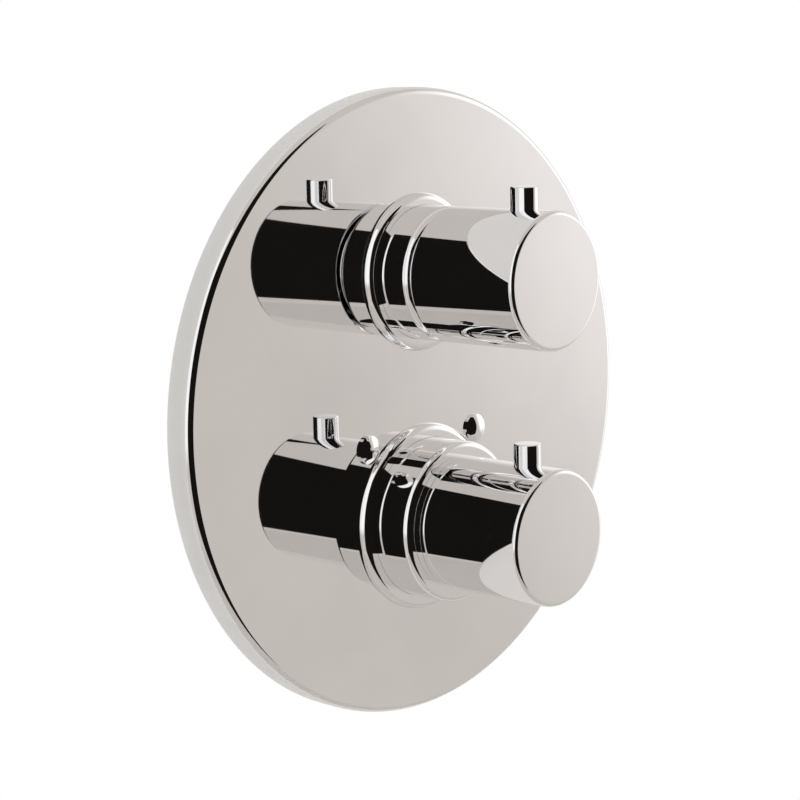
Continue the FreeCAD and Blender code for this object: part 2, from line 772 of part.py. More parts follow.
def ceramic_disc(top, radius, hole_angles):
    disc = tube(radius, 0, top - DISC_T, top, FLOW)
    for angle in hole_angles:
        disc = disc.cut(sector(DISC_HOLE_OUTER_R, DISC_HOLE_INNER_R, top - DISC_T, top,
                               angle, DISC_HOLE_ARC, FLOW))
    return disc


def moving_disc():
    disc = ceramic_disc(disc_top, DISC_BORE_R - LOOSE, (90, 270))
    for side in (-1, 1):
        place = FLOW.multiply(FreeCAD.Placement(vec(side * DOG_RADIUS, 0, 0), FreeCAD.Rotation()))
        disc = disc.cut(tube(DOG_R + SLIP, 0, disc_top - DOG_L - SLIP, disc_top, place))
    return disc


def fixed_disc():
    """The lower disc, with two tabs that the headwork's slots hold still."""
    top = disc_top - DISC_T - LAP
    disc = ceramic_disc(top, DISC_BORE_R - SLIP, (0, 180))
    tabs = block(DISC_TAB_W, 2 * (HEADWORK_TAIL_R - SLIP), top - DISC_T, top, FLOW)
    tabs = tabs.cut(tube(DISC_BORE_R - LOOSE, 0, top - DISC_T, top, FLOW))
    return disc.fuse(tabs)


def disc_seal():
    return tube(DISC_BORE_R - SLIP, SEAT_HOLE_R, shutoff_back, shutoff_back + DISC_SEAL_T, FLOW)


def headwork_seal():
    section = (FLOW_BORE_R - HEADWORK_TAIL_R) / 2
    return o_ring(HEADWORK_TAIL_R + section, section, shutoff_front + HEADWORK_STEP / 2, FLOW)


# ---- thermostatic cartridge ----
def seal_groove(reach):
    outer = BARREL_BORE_R
    bottom = outer - 2 * BARREL_SEAL_R
    return tube(outer + OVERCUT, bottom, reach - BARREL_SEAL_R, reach + BARREL_SEAL_R, TEMP)


def port_windows(low, high):
    windows = []
    for angle in around(PORT_WINDOWS, 180 / PORT_WINDOWS):
        windows.append(sector(barrel_r + OVERCUT, SHUTTLE_BORE_R - OVERCUT, low, high,
                              angle, PORT_WINDOW_ARC, TEMP))
    return windows


def key_bars(radius, width, low, high):
    bars = []
    for i in range(KEY_COUNT // 2):
        turn = FreeCAD.Rotation(360.0 * (i + 0.5) / KEY_COUNT, 0, 0)
        place = TEMP.multiply(FreeCAD.Placement(vec(0, 0, 0), turn))
        bar = block(2 * radius, width, low, high, place)
        bars.append(bar.common(tube(radius, 0, low, high, TEMP)))
    return bars


def cartridge_body():
    """The front half: spindle bearing, keyed slideway, cold seat and ports."""
    shoulder = SHOULDER_REACH + CARTRIDGE_FLANGE_T
    seat_top = cold_seat + SEAT_RING_T
    body = turned([
        (SHAFT_R + SLIP, SHAFT_TOP), (CARTRIDGE_NECK_R, SHAFT_TOP), (CARTRIDGE_NECK_R, shoulder),
        (NUT_THREAD_R - LOOSE, shoulder), (NUT_THREAD_R - LOOSE, SHOULDER_REACH),
        (barrel_r, SHOULDER_REACH), (barrel_r, cartridge_split + CARTRIDGE_LAP),
        (CARTRIDGE_LAP_R, cartridge_split + CARTRIDGE_LAP), (CARTRIDGE_LAP_R, cartridge_split),
        (SHUTTLE_BORE_R, cartridge_split), (SHUTTLE_BORE_R, cold_seat), (SEAT_RING_R, cold_seat),
        (SEAT_RING_R, seat_top), (SLIDE_BORE_R, seat_top), (SLIDE_BORE_R, slide_top),
        (COLLAR_R + LOOSE, slide_top), (COLLAR_R + LOOSE, collar_top + LOOSE),
        (SHAFT_R + SLIP, collar_top + LOOSE),
    ], TEMP)
    cuts = port_windows(cold_seat - PORT_WINDOW_L, cold_seat)
    cuts += key_bars(key_r + LOOSE, KEY_W + 2 * LOOSE, seat_top, slide_top)
    cuts.append(seal_groove(barrel_seals[0]))
    return body.cut(cuts)


def cartridge_cage():
    """The rear half: hot ports and seat, outlet slots and the spring's floor."""
    seat_low = hot_seat - SEAT_RING_T
    inside = barrel_r - CAGE_WALL
    cage = turned([
        (CARTRIDGE_LAP_R + SLIP, cartridge_split + CARTRIDGE_LAP),
        (barrel_r, cartridge_split + CARTRIDGE_LAP), (barrel_r, cage_end),
        (BULB_R + 2 * LOOSE, cage_end), (BULB_R + 2 * LOOSE, cage_floor), (inside, cage_floor),
        (inside, seat_low), (SEAT_RING_R, seat_low), (SEAT_RING_R, hot_seat),
        (SHUTTLE_BORE_R, hot_seat), (SHUTTLE_BORE_R, cartridge_split),
        (CARTRIDGE_LAP_R + SLIP, cartridge_split),
    ], TEMP)
    cuts = port_windows(hot_seat, hot_seat + PORT_WINDOW_L)
    for angle in around(PORT_WINDOWS, 180 / PORT_WINDOWS):
        cuts.append(sector(barrel_r + OVERCUT, inside - OVERCUT, cage_floor + CAGE_SILL,
                           mix_front - CAGE_SLOT_INSET, angle, PORT_WINDOW_ARC, TEMP))
    cuts.append(seal_groove(barrel_seals[1]))
    cuts.append(seal_groove(barrel_seals[2]))
    return cage.cut(cuts)


def cartridge_seals():
    rings = []
    for reach in barrel_seals:
        rings.append(o_ring(BARREL_BORE_R - BARREL_SEAL_R, BARREL_SEAL_R, reach, TEMP))
    return Part.makeCompound(rings)


def cartridge_nut():
    shoulder = SHOULDER_REACH + CARTRIDGE_FLANGE_T
    bore = CARTRIDGE_NECK_R + LOOSE
    nut = tube(NUT_THREAD_R - SLIP, bore, shoulder, SOCKET_FRONT, TEMP)
    head = hexagon(CARTRIDGE_NUT_HEX, SOCKET_FRONT, SOCKET_FRONT + CARTRIDGE_NUT_HEAD, TEMP)
    return nut.fuse(head.cut(tube(bore, 0, SOCKET_FRONT, SOCKET_FRONT + CARTRIDGE_NUT_HEAD, TEMP)))


def temp_spindle():
    """The temperature spindle, with its thrust collar and two-start lead screw."""
    collar = tube(COLLAR_R, 0, collar_low, collar_top, TEMP)
    screw = tube(LEAD_R, 0, lead_end, collar_low, TEMP)
    return spindle_stem(collar_top, TEMP).fuse([collar, screw])


def follower():
    """The keyed nut that the lead screw slides, with a cup for its spring."""
    cup_r = follower_r - FOLLOWER_WALL
    body = turned([
        (LEAD_R + SLIP, follower_top), (follower_r, follower_top), (follower_r, follower_end),
        (cup_r, follower_end), (cup_r, follower_floor), (LEAD_R + SLIP, follower_floor),
    ], TEMP)
    keys = []
    for bar in key_bars(key_r, KEY_W, follower_end, follower_top):
        keys.append(bar.cut(tube((cup_r + follower_r) / 2, 0, follower_end, follower_top, TEMP)))
    groove = tube(cup_r + RETAINER_BITE, 0, thrust_face - RETAINER_T, thrust_face, TEMP)
    return body.fuse(keys).cut(groove)


def thrust_plate():
    """The spring-loaded plate that the element's rod pushes against."""
    top = thrust_face + THRUST_T
    return tube(follower_r - FOLLOWER_WALL - THREAD_PLAY, 0, thrust_face, top, TEMP)


def thrust_retainer():
    """The wire ring in the follower's mouth that keeps the plate in."""
    outer = follower_r - FOLLOWER_WALL + RETAINER_BITE
    return open_ring(outer, outer - RETAINER_W, thrust_face - RETAINER_T, TEMP)


def overload_spring():
    low = thrust_face + THRUST_T
    return coil(OVERLOAD_RADIUS, SPRING_WIRE_R, low, follower_floor, OVERLOAD_TURNS, TEMP)


def wax_element():
    element = turned([
        (0, thrust_face), (ROD_R, thrust_face), (ROD_R, guide_top), (GUIDE_R, guide_top, GUIDE_EDGE_R),
        (GUIDE_R, web_back), (ELEMENT_NECK_R, web_back),
        (ELEMENT_NECK_R, element_flange_front), (ELEMENT_FLANGE_R, element_flange_front),
        (ELEMENT_FLANGE_R, element_flange_back), (BULB_R, element_flange_back),
        (BULB_R, bulb_end, BULB_EDGE_R), (0, bulb_end),
    ], TEMP)
    low, high = web_front, web_front + RETAINER_T
    return element.cut(tube(GUIDE_R, GUIDE_R - RETAINER_BITE, low, high, TEMP))


def shuttle():
    """The sliding sleeve that opens one port as it closes the other."""
    inside = shuttle_r - SHUTTLE_WALL
    body = tube(shuttle_r, inside, shuttle_back, shuttle_front, TEMP)
    web = tube(inside, GUIDE_R + SLIP, web_back, web_front, TEMP)
    middle = (inside + GUIDE_R) / 2
    for angle in around(SHUTTLE_HOLES):
        x, y = polar(middle, angle)
        place = TEMP.multiply(FreeCAD.Placement(vec(x, y, 0), FreeCAD.Rotation()))
        web = web.cut(tube(SHUTTLE_HOLE_R, 0, web_back, web_front, place))
    groove = SHUTTLE_BORE_R - SLIP - 2 * SHUTTLE_SEAL_R
    ring = tube(shuttle_r + OVERCUT, groove, shuttle_middle - SHUTTLE_SEAL_R,
                shuttle_middle + SHUTTLE_SEAL_R, TEMP)
    return body.fuse(web).cut(ring)


def shuttle_retainer():
    """The ring on the element's guide that holds the shuttle on its shoulder."""
    inner = GUIDE_R - RETAINER_BITE
    return open_ring(inner + RETAINER_W, inner, web_front, TEMP)


def shuttle_seal():
    middle = SHUTTLE_BORE_R - SLIP - SHUTTLE_SEAL_R
    return o_ring(middle, SHUTTLE_SEAL_R, shuttle_middle, TEMP)


def return_spring():
    return coil(RETURN_RADIUS, SPRING_WIRE_R, cage_floor, element_flange_back, RETURN_TURNS, TEMP)


# ---- temperature stop ----
def limit_ring():
    """A splined disc on the spindle, whose finger sweeps round the stop."""
    disc = tube(STOP_TRACK_R, 0, limit_low, limit_high, TEMP)
    disc = disc.cut(splined(SPLINE_R + SPLINE_GAP, limit_low, limit_high, TEMP))
    finger = sector(STOP_TRACK_R, STOP_RING_R + LOOSE, limit_low - FINGER_L, limit_low,
                    90, FINGER_ARC, TEMP)
    return disc.fuse(finger)


def stop_ring():
    """A ring on the cartridge's neck, with an arc that the finger can't pass."""
    ring = tube(STOP_RING_R, CARTRIDGE_NECK_R + SLIP, stop_low, stop_high, TEMP)
    hot_end = 90 + TEMP_HOT_TURN + FINGER_ARC / 2 + STOP_PLAY
    cold_end = 90 + 360 - TEMP_COLD_TURN - FINGER_ARC / 2 - STOP_PLAY
    arc = sector(STOP_TRACK_R, STOP_RING_R - OVERCUT, stop_low, limit_low - LOOSE,
                 (hot_end + cold_end) / 2, cold_end - hot_end, TEMP)
    return ring.fuse(arc)


# ---- non-return valves ----
def check_body(where):
    """A pushed-in cartridge: a seat, a bore and a three-armed stem guide."""
    inside = check_r - CHECK_WALL
    guide_top = check_floor + CHECK_GUIDE_T
    shell = turned([
        (inside, check_floor), (check_r, check_floor), (check_r, check_mouth),
        (CHECK_SEAT_R, check_mouth), (CHECK_SEAT_R, check_seat), (inside, check_seat),
    ], where)
    hub = tube(CHECK_HUB_R, 0, check_floor, guide_top, where)
    arms = [hub]
    for angle in around(CHECK_ARMS, 90):
        arm = Part.makeBox(inside, CHECK_ARM_W, CHECK_GUIDE_T, vec(0, -CHECK_ARM_W / 2, check_floor))
        arm.rotate(vec(0, 0, 0), vec(0, 0, 1), angle)
        arm.Placement = where.multiply(arm.Placement)
        arms.append(arm)
    body = shell.fuse(arms)
    return body.cut(tube(POPPET_STEM_R + SLIP, 0, check_floor, guide_top, where))


def check_poppet(where):
    top = check_seat - LAP
    return turned([
        (0, check_floor), (POPPET_STEM_R, check_floor), (POPPET_STEM_R, top - POPPET_T),
        (POPPET_R, top - POPPET_T), (POPPET_R, top), (CHECK_SEAT_R - LOOSE, top),
        (CHECK_SEAT_R - POPPET_NOSE_TAPER, top + POPPET_NOSE_L), (0, top + POPPET_NOSE_L),
    ], where)


def check_spring(where):
    low = check_floor + CHECK_GUIDE_T
    high = check_seat - LAP - POPPET_T
    return coil(CHECK_SPRING_RADIUS, CHECK_SPRING_WIRE_R, low, high, CHECK_SPRING_TURNS, where)


def strainer(where):
    disc = tube(strainer_r, 0, check_mouth, strainer_face, where)
    holes = []
    for row in range(STRAINER_ROW_COUNT):
        for angle in around(max(1, 6 * row)):
            x, y = polar(row * STRAINER_PITCH, angle)
            place = where.multiply(FreeCAD.Placement(vec(x, y, 0), FreeCAD.Rotation()))
            holes.append(tube(STRAINER_HOLE_R, 0, check_mouth, strainer_face, place))
    return disc.cut(holes)


# ---- brass valve body ----
def port_boss(mouth, where):
    """A round boss from the body's middle out to a port's mouth."""
    outer = PORT_R + PORT_WALL
    return turned([(0, 0), (outer, 0), (outer, mouth, PORT_EDGE_R), (0, mouth)], where)


def valve_body():
    """Two sockets out from the wall, a riser, three ports and a fixing flange."""
    thread_r = shroud_bore - SLIP
    flow_thread_r = flow_sleeve_bore - SLIP
    lower = turned([
        (0, SOCKET_FRONT), (thread_r, SOCKET_FRONT), (thread_r, SOCKET_FRONT - SOCKET_THREAD_L),
        (temp_socket_r, SOCKET_FRONT - SOCKET_THREAD_L), (temp_socket_r, body_back, CAST_EDGE_R),
        (0, body_back),
    ], TEMP)
    upper = turned([
        (0, FLOW_SOCKET_FRONT), (flow_thread_r, FLOW_SOCKET_FRONT),
        (flow_thread_r, FLOW_SOCKET_FRONT - FLOW_THREAD_L),
        (FLOW_SOCKET_R, FLOW_SOCKET_FRONT - FLOW_THREAD_L),
        (FLOW_SOCKET_R, seat_back, CAST_EDGE_R),
        (TAIL_R + TAIL_WALL, seat_back), (TAIL_R + TAIL_WALL, body_back, TAIL_EDGE_R),
        (0, body_back),
    ], FLOW)
    riser = tube(RISER_R + RISER_WALL, 0, temp_z, flow_z, upwards(riser_depth, 0))
    solids = [upper, riser, port_boss(OUTLET_HEIGHT, upwards(outlet_depth, flow_z))]
    for sign in (-1, 1):
        solids.append(port_boss(port_mouth, sideways(sign)))
    solids.append(fixing_flange())
    for side, place in zip((-1, 1), screw_places()):
        low = SCREW_BOSS_FRONT - SCREW_BOSS_L
        solids.append(tube(SCREW_BOSS_R, 0, low, SCREW_BOSS_FRONT, place))
        reach = SCREW_OFFSET * math.sqrt(2)
        rib = Part.makeBox(reach, SCREW_RIB_T, SCREW_BOSS_L, vec(0, -SCREW_RIB_T / 2, low))
        rib.rotate(vec(0, 0, 0), vec(0, 0, 1), 90 - side * 45)
        rib.Placement = TEMP.multiply(rib.Placement)
        solids.append(rib)
    body = lower.fuse(solids)
    return body.cut(valve_bores())


def fixing_flange():
    """The flat back flange, with four holes for the wall's screws."""
    width = FIXING_SPACING_X + 2 * FIXING_MARGIN
    height = FIXING_SPACING_Z + 2 * FIXING_MARGIN
    place = out_from_wall(0, AXIS_RAISE)
    plate = block(width, height, body_back, body_back + FIXING_T, place)
    plate = plate.makeFillet(FIXING_CORNER_R, [e for e in plate.Edges if is_deep(e)])
    holes = []
    for side in (-1, 1):
        for level in (-1, 1):
            hole = out_from_wall(side * FIXING_SPACING_X / 2, AXIS_RAISE + level * FIXING_SPACING_Z / 2)
            holes.append(tube(FIXING_HOLE_R, 0, body_back, body_back + FIXING_T, hole))
    return plate.cut(holes)


def is_deep(edge):
    """Whether an edge runs straight into the wall."""
    first, last = edge.Vertexes[0].Point, edge.Vertexes[-1].Point
    return abs(first.x - last.x) + abs(first.z - last.z) < 1e-6


def valve_bores():
    lower = [
        tube(NUT_THREAD_R, 0, SHOULDER_REACH, SOCKET_FRONT, TEMP),
        tube(BARREL_BORE_R, 0, mix_front, SHOULDER_REACH, TEMP),
        tube(CHAMBER_R, 0, cold_back, cold_front, TEMP),
        tube(CHAMBER_R, 0, hot_back, hot_front, TEMP),
        tube(MIX_R, 0, mix_back, mix_front, TEMP),
    ]
    upper = [
        tube(FLOW_BORE_R, 0, shutoff_front, FLOW_SOCKET_FRONT, FLOW),
        tube(FLOW_CHAMBER_R, 0, shutoff_back, shutoff_front, FLOW),
        tube(SEAT_HOLE_R, 0, seat_back, shutoff_back, FLOW),
        tube(TAIL_R, 0, mix_back, seat_back, FLOW),
        tube(RISER_R, 0, temp_z, flow_z, upwards(riser_depth, 0)),
    ]
    outlet_place = upwards(outlet_depth, flow_z)
    outlet = [
        tube(OUTLET_PASSAGE_R, 0, 0, OUTLET_HEIGHT, outlet_place),
        tube(PORT_R, 0, OUTLET_HEIGHT - PORT_THREAD_L, OUTLET_HEIGHT, outlet_place),
    ]
    inlets = []
    for sign in (-1, 1):
        place = sideways(sign)
        inlets.append(tube(PORT_R, 0, port_floor, port_mouth, place))
        inlets.append(tube(CHECK_BORE_R, 0, check_floor, port_floor, place))
        inlets.append(tube(CHECK_RELIEF_R, 0, check_floor - CHECK_RELIEF_L, check_floor, place))
        inlets.append(tube(PASSAGE_R, 0, BARREL_BORE_R, check_floor, place))
    screws = []
    for place in screw_places():
        low = SCREW_BOSS_FRONT - SCREW_BOSS_L
        screws.append(tube(SCREW_SHANK_R + THREAD_PLAY, 0, low, SCREW_BOSS_FRONT, place))
    return lower + upper + outlet + inlets + screws


# ---- the assembly ----
pieces["cover_plate"] = cover_plate()
pieces["plate_seal"] = plate_seal()
pieces["plate_screws"] = Part.makeCompound([plate_screw(p) for p in screw_places()])
pieces["screw_caps"] = Part.makeCompound([screw_cap(p) for p in screw_places()])
pieces["flow_flange"] = flange(FLOW_FLANGE_D, knob_r + SLIP, FLOW)
pieces["flow_flange_seal"] = flange_seal(flow_spigot_r, FLOW)
pieces["flow_sleeve"] = flow_sleeve()
pieces["temp_flange"] = flange(TEMP_FLANGE_D, shroud_r + SLIP, TEMP)
pieces["temp_flange_seal"] = flange_seal(temp_spigot_r, TEMP)
pieces["temp_shroud"] = temp_shroud()
for side, back, place in (("flow", flow_knob_back, FLOW), ("temp", temp_knob_back, TEMP)):
    pieces[side + "_knob"] = knob(back, place)
    pieces[side + "_lever"] = lever(place)
    pieces[side + "_grub_screw"] = grub_screw(place)
    pieces[side + "_adaptor"] = adaptor(place)
    pieces[side + "_stem_seals"] = stem_seals(place)
    pieces[side + "_clip"] = spindle_clip(place)
pieces["valve_body"] = valve_body()
pieces["headwork_body"] = headwork_body()
pieces["headwork_seal"] = headwork_seal()
pieces["flow_spindle"] = flow_spindle()
pieces["moving_disc"] = moving_disc()
pieces["fixed_disc"] = fixed_disc()
pieces["disc_seal"] = disc_seal()
pieces["cartridge_nut"] = cartridge_nut()
pieces["cartridge_body"] = cartridge_body()
pieces["cartridge_cage"] = cartridge_cage()
pieces["cartridge_seals"] = cartridge_seals()
pieces["temp_spindle"] = temp_spindle()
pieces["follower"] = follower()
pieces["overload_spring"] = overload_spring()
pieces["thrust_plate"] = thrust_plate()
pieces["thrust_retainer"] = thrust_retainer()
pieces["wax_element"] = wax_element()
pieces["shuttle"] = shuttle()
pieces["shuttle_retainer"] = shuttle_retainer()
pieces["shuttle_seal"] = shuttle_seal()
pieces["return_spring"] = return_spring()
pieces["stop_ring"] = stop_ring()
pieces["limit_ring"] = limit_ring()
for side, sign in (("hot", -1), ("cold", 1)):
    pieces[side + "_check_body"] = check_body(sideways(sign))
    pieces[side + "_check_poppet"] = check_poppet(sideways(sign))
    pieces[side + "_check_spring"] = check_spring(sideways(sign))
    pieces[side + "_strainer"] = strainer(sideways(sign))

os.makedirs("parts", exist_ok=True)
for name, shape in pieces.items():
    shape.exportStep("parts/" + name + ".step")
print(len(pieces), "nodes")
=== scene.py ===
import math

import bmesh
import bpy
from mathutils import Matrix, Vector


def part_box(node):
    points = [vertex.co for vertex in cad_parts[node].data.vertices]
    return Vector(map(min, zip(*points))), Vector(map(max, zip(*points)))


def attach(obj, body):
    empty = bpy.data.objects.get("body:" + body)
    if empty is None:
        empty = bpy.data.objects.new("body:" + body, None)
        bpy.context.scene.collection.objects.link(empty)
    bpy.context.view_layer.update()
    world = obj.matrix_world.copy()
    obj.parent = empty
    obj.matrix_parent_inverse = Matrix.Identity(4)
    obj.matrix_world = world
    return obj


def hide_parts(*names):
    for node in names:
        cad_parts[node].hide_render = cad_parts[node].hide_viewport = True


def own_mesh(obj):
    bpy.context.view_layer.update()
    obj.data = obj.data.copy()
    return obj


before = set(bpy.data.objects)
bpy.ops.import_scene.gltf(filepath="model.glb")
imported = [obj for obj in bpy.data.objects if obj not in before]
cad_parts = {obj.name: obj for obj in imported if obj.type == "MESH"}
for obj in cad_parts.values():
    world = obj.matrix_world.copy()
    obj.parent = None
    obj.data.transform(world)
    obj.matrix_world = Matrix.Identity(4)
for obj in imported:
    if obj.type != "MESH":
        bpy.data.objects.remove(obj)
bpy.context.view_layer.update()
mm = 0.001

# ---- Valve body ----
# One brass casting, poured in sand and left rough outside. The port mouths, the socket
# fronts and the fixing flange are turned or milled bright; it is screwed to the wall's
# frame before the wall is closed, so only the installer sees it.

CAST_BRASS = (0.60, 0.43, 0.20, 1)
CAST_BRASS_DARK = (0.50, 0.355, 0.165, 1)
CAST_PATCH = 7 * mm
SAND_GRAIN = 0.9 * mm
SAND_DEPTH = 0.35 * mm
TURNED_BRASS = (0.80, 0.61, 0.30, 1)
HANDLING_STAIN = 6 * mm
CUTTER_MARK = 0.25 * mm
CUTTER_DEPTH = 0.02 * mm


def new_finish(name, metallic=0.0, roughness=0.5):
    """An empty finish, and the tree that its nodes stand in."""
    made = bpy.data.materials.new(name)
    made.use_nodes = True
    shader = made.node_tree.nodes["Principled BSDF"]
    shader.inputs["Metallic"].default_value = metallic
    shader.inputs["Roughness"].default_value = roughness
    return made, made.node_tree


def speckle(tree, size, detail=3.0):
    """Noise whose lumps are about one size, in the piece's own metres."""
    place = tree.nodes.new("ShaderNodeTexCoord")
    noise = tree.nodes.new("ShaderNodeTexNoise")
    noise.inputs["Scale"].default_value = 1 / size
    noise.inputs["Detail"].default_value = detail
    tree.links.new(place.outputs["Object"], noise.inputs["Vector"])
    return noise.outputs["Fac"]


def shade(colour, share):
    """A colour made darker, or lighter where the share is over one."""
    return tuple(share * c for c in colour[:3]) + (1,)


def wear(tree, colour_by, surface_by, tones, stops, roughness, depth=0.0):
    """Lets the colour follow one pattern, and the roughness and height another.

    The colour runs between two tones as its pattern rises from one stop to the other."""
    join = tree.links.new
    shader = tree.nodes["Principled BSDF"]
    ramp = tree.nodes.new("ShaderNodeValToRGB")
    for element, stop, tone in zip(ramp.color_ramp.elements, stops, tones):
        element.position = stop
        element.color = tone
    join(colour_by, ramp.inputs["Fac"])
    join(ramp.outputs["Color"], shader.inputs["Base Color"])
    stretch = tree.nodes.new("ShaderNodeMapRange")
    for side, amount in zip(("To Min", "To Max"), roughness):
        stretch.inputs[side].default_value = amount
    join(surface_by, stretch.inputs["Value"])
    join(stretch.outputs["Result"], shader.inputs["Roughness"])
    if depth:
        bump = tree.nodes.new("ShaderNodeBump")
        bump.inputs["Distance"].default_value = depth
        join(surface_by, bump.inputs["Height"])
        join(bump.outputs["Normal"], shader.inputs["Normal"])


def sand_cast_brass():
    made, tree = new_finish("sand_cast_brass", metallic=1.0)
    patches = speckle(tree, CAST_PATCH, detail=8.0)
    wear(tree, patches, speckle(tree, SAND_GRAIN), tones=(CAST_BRASS_DARK, CAST_BRASS),
         stops=(0.35, 0.65), roughness=(0.38, 0.62), depth=SAND_DEPTH)
    return made


def bright_turned_brass():
    made, tree = new_finish("bright_turned_brass", metallic=1.0)
    stains = speckle(tree, HANDLING_STAIN)
    dull = shade(TURNED_BRASS, 0.82)
    wear(tree, stains, speckle(tree, CUTTER_MARK, detail=1.0), tones=(dull, TURNED_BRASS),
         stops=(0.30, 0.60), roughness=(0.16, 0.30), depth=CUTTER_DEPTH)
    return made


def coat(finish, *nodes):
    """Gives CAD pieces their finish."""
    for node in nodes:
        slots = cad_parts[node].data.materials
        slots.clear()
        slots.append(finish)


turned_brass = bright_turned_brass()
coat(sand_cast_brass(), "valve_body")

# ---- Fittings inside the valve body ----
# Turned brass, moulded plastic, ceramic and rubber pieces: the thermostat on the
# temperature side, the quarter-turn headwork on the flow side, and a non-return valve
# behind a strainer in each inlet. Each is screwed or pushed into its bore.

GREY_NYLON = (0.20, 0.21, 0.23, 1)
WHITE_NYLON = (0.82, 0.82, 0.79, 1)
RUBBER_BLACK = (0.018, 0.018, 0.020, 1)
STEEL_GREY = (0.58, 0.58, 0.59, 1)
COPPER = (0.72, 0.36, 0.20, 1)
ALUMINA = (0.86, 0.84, 0.78, 1)
PEBBLE = 0.5 * mm
PEBBLE_DEPTH = 0.02 * mm
HANDLING_MARK = 0.8 * mm
RUBBER_BLOOM = 0.9 * mm
BLOOM_DEPTH = 0.03 * mm


def moulded(name, colour, roughness=0.42):
    """Injection-moulded plastic, or pressed ceramic: an even, slightly pebbled skin."""
    made, tree = new_finish(name)
    pebble = speckle(tree, PEBBLE)
    wear(tree, pebble, pebble, tones=(shade(colour, 0.90), colour), stops=(0.35, 0.65),
         roughness=(roughness - 0.06, roughness + 0.06), depth=PEBBLE_DEPTH)
    return made


def bare_metal(name, colour, roughness=0.28):
    """Drawn or stamped metal with fine handling marks."""
    made, tree = new_finish(name, metallic=1.0)
    marks = speckle(tree, HANDLING_MARK, detail=6.0)
    wear(tree, marks, marks, tones=(shade(colour, 0.80), colour), stops=(0.30, 0.62),
         roughness=(roughness - 0.08, roughness + 0.10))
    return made


def rubber():
    made, tree = new_finish("black_rubber")
    bloom = speckle(tree, RUBBER_BLOOM)
    wear(tree, bloom, bloom, tones=(RUBBER_BLACK, shade(RUBBER_BLACK, 3)), stops=(0.45, 0.80),
         roughness=(0.55, 0.75), depth=BLOOM_DEPTH)
    return made


stainless = bare_metal("stainless_steel", STEEL_GREY)
coat(turned_brass, "headwork_body", "flow_spindle", "temp_spindle", "cartridge_nut",
     "flow_adaptor", "temp_adaptor", "follower")
coat(moulded("grey_nylon", GREY_NYLON), "cartridge_body", "cartridge_cage", "thrust_plate")
coat(moulded("white_nylon", WHITE_NYLON), "stop_ring", "limit_ring", "hot_check_body",
     "cold_check_body", "hot_check_poppet", "cold_check_poppet")
coat(moulded("alumina", ALUMINA, roughness=0.18), "moving_disc", "fixed_disc")
coat(stainless, "shuttle", "flow_clip", "temp_clip", "thrust_retainer", "shuttle_retainer",
     "hot_strainer", "cold_strainer")
coat(rubber(), "flow_flange_seal", "temp_flange_seal", "flow_stem_seals", "temp_stem_seals",
     "headwork_seal", "disc_seal", "cartridge_seals", "shuttle_seal")
coat(bare_metal("copper_element", COPPER), "wax_element")

# ---- Cover plate ----
# A round pan pressed from 1.5 mm brass sheet, polished until it is a flat mirror and
# chrome plated. It hides the hole in the wall and is held by two screws under the
# domed caps.

CHROME = (0.93, 0.93, 0.935, 1)
CHROME_CLOUD = (0.90, 0.90, 0.91, 1)
CLOUD = 30 * mm
DULL_CHROME = (0.66, 0.66, 0.67, 1)
DULL_CHROME_DARK = (0.52, 0.52, 0.53, 1)
PRESSED_GRAIN = 1.6 * mm
PRESSED_DEPTH = 0.04 * mm
PLATE_SHEET = 1.5 * mm
PLATE_EDGE = 2.35 * mm
PLATE_HOLE_PLAY = 0.3 * mm
SPIGOT_SEAL = 2 * mm
SCREW_HEAD_R = 3.0 * mm
SCREW_HOLE_R = 2.3 * mm
CUT_PAST = 1 * mm
LOOKS_BACK = 0.5
TURN_STEPS = 256
ROUND_STEPS = 10
ON_AXIS = 0.0001 * mm
CREASE = math.radians(25)
FLAT_FACES_LEAD = 100


def dull_chrome():
    """Chrome over brass that was pressed but never polished, as on the plate's back."""
    made, tree = new_finish("dull_chrome", metallic=1.0)
    grain = speckle(tree, PRESSED_GRAIN, detail=5.0)
    wear(tree, grain, grain, tones=(DULL_CHROME_DARK, DULL_CHROME), stops=(0.30, 0.70),
         roughness=(0.26, 0.40), depth=PRESSED_DEPTH)
    return made


def polished_chrome():
    made, tree = new_finish("polished_chrome", metallic=1.0)
    cloud = speckle(tree, CLOUD, detail=2.0)
    wear(tree, cloud, cloud, tones=(CHROME_CLOUD, CHROME), stops=(0.35, 0.60),
         roughness=(0.012, 0.030))
    return made


chrome = polished_chrome()


def rounded(corners):
    """A closed (radius, reach) outline, with each corner rounded by its own radius."""
    outline = []
    for i, corner in enumerate(corners):
        here = Vector(corner[:2])
        radius = corner[2] if len(corner) > 2 else 0
        if radius == 0:
            outline.append((here.x, here.y))
            continue
        back = (Vector(corners[i - 1][:2]) - here).normalized()
        ahead = (Vector(corners[(i + 1) % len(corners)][:2]) - here).normalized()
        half = back.angle(ahead) / 2
        centre = here + (back + ahead).normalized() * (radius / math.sin(half))
        start = here + back * (radius / math.tan(half)) - centre
        end = here + ahead * (radius / math.tan(half)) - centre
        first = math.atan2(start.y, start.x)
        sweep = math.remainder(math.atan2(end.y, end.x) - first, 2 * math.pi)
        for step in range(ROUND_STEPS + 1):
            angle = first + sweep * step / ROUND_STEPS
            outline.append((centre.x + radius * math.cos(angle),
                            centre.y + radius * math.sin(angle)))
    return outline


def show(name, mesh):
    """Sets a mesh up in the scene."""
    piece = bpy.data.objects.new(name, mesh)
    bpy.context.scene.collection.objects.link(piece)
    return piece


def show_form(name, form):
    """Sets a finished form up in the scene."""
    mesh = bpy.data.meshes.new(name)
    form.to_mesh(mesh)
    form.free()
    return show(name, mesh)


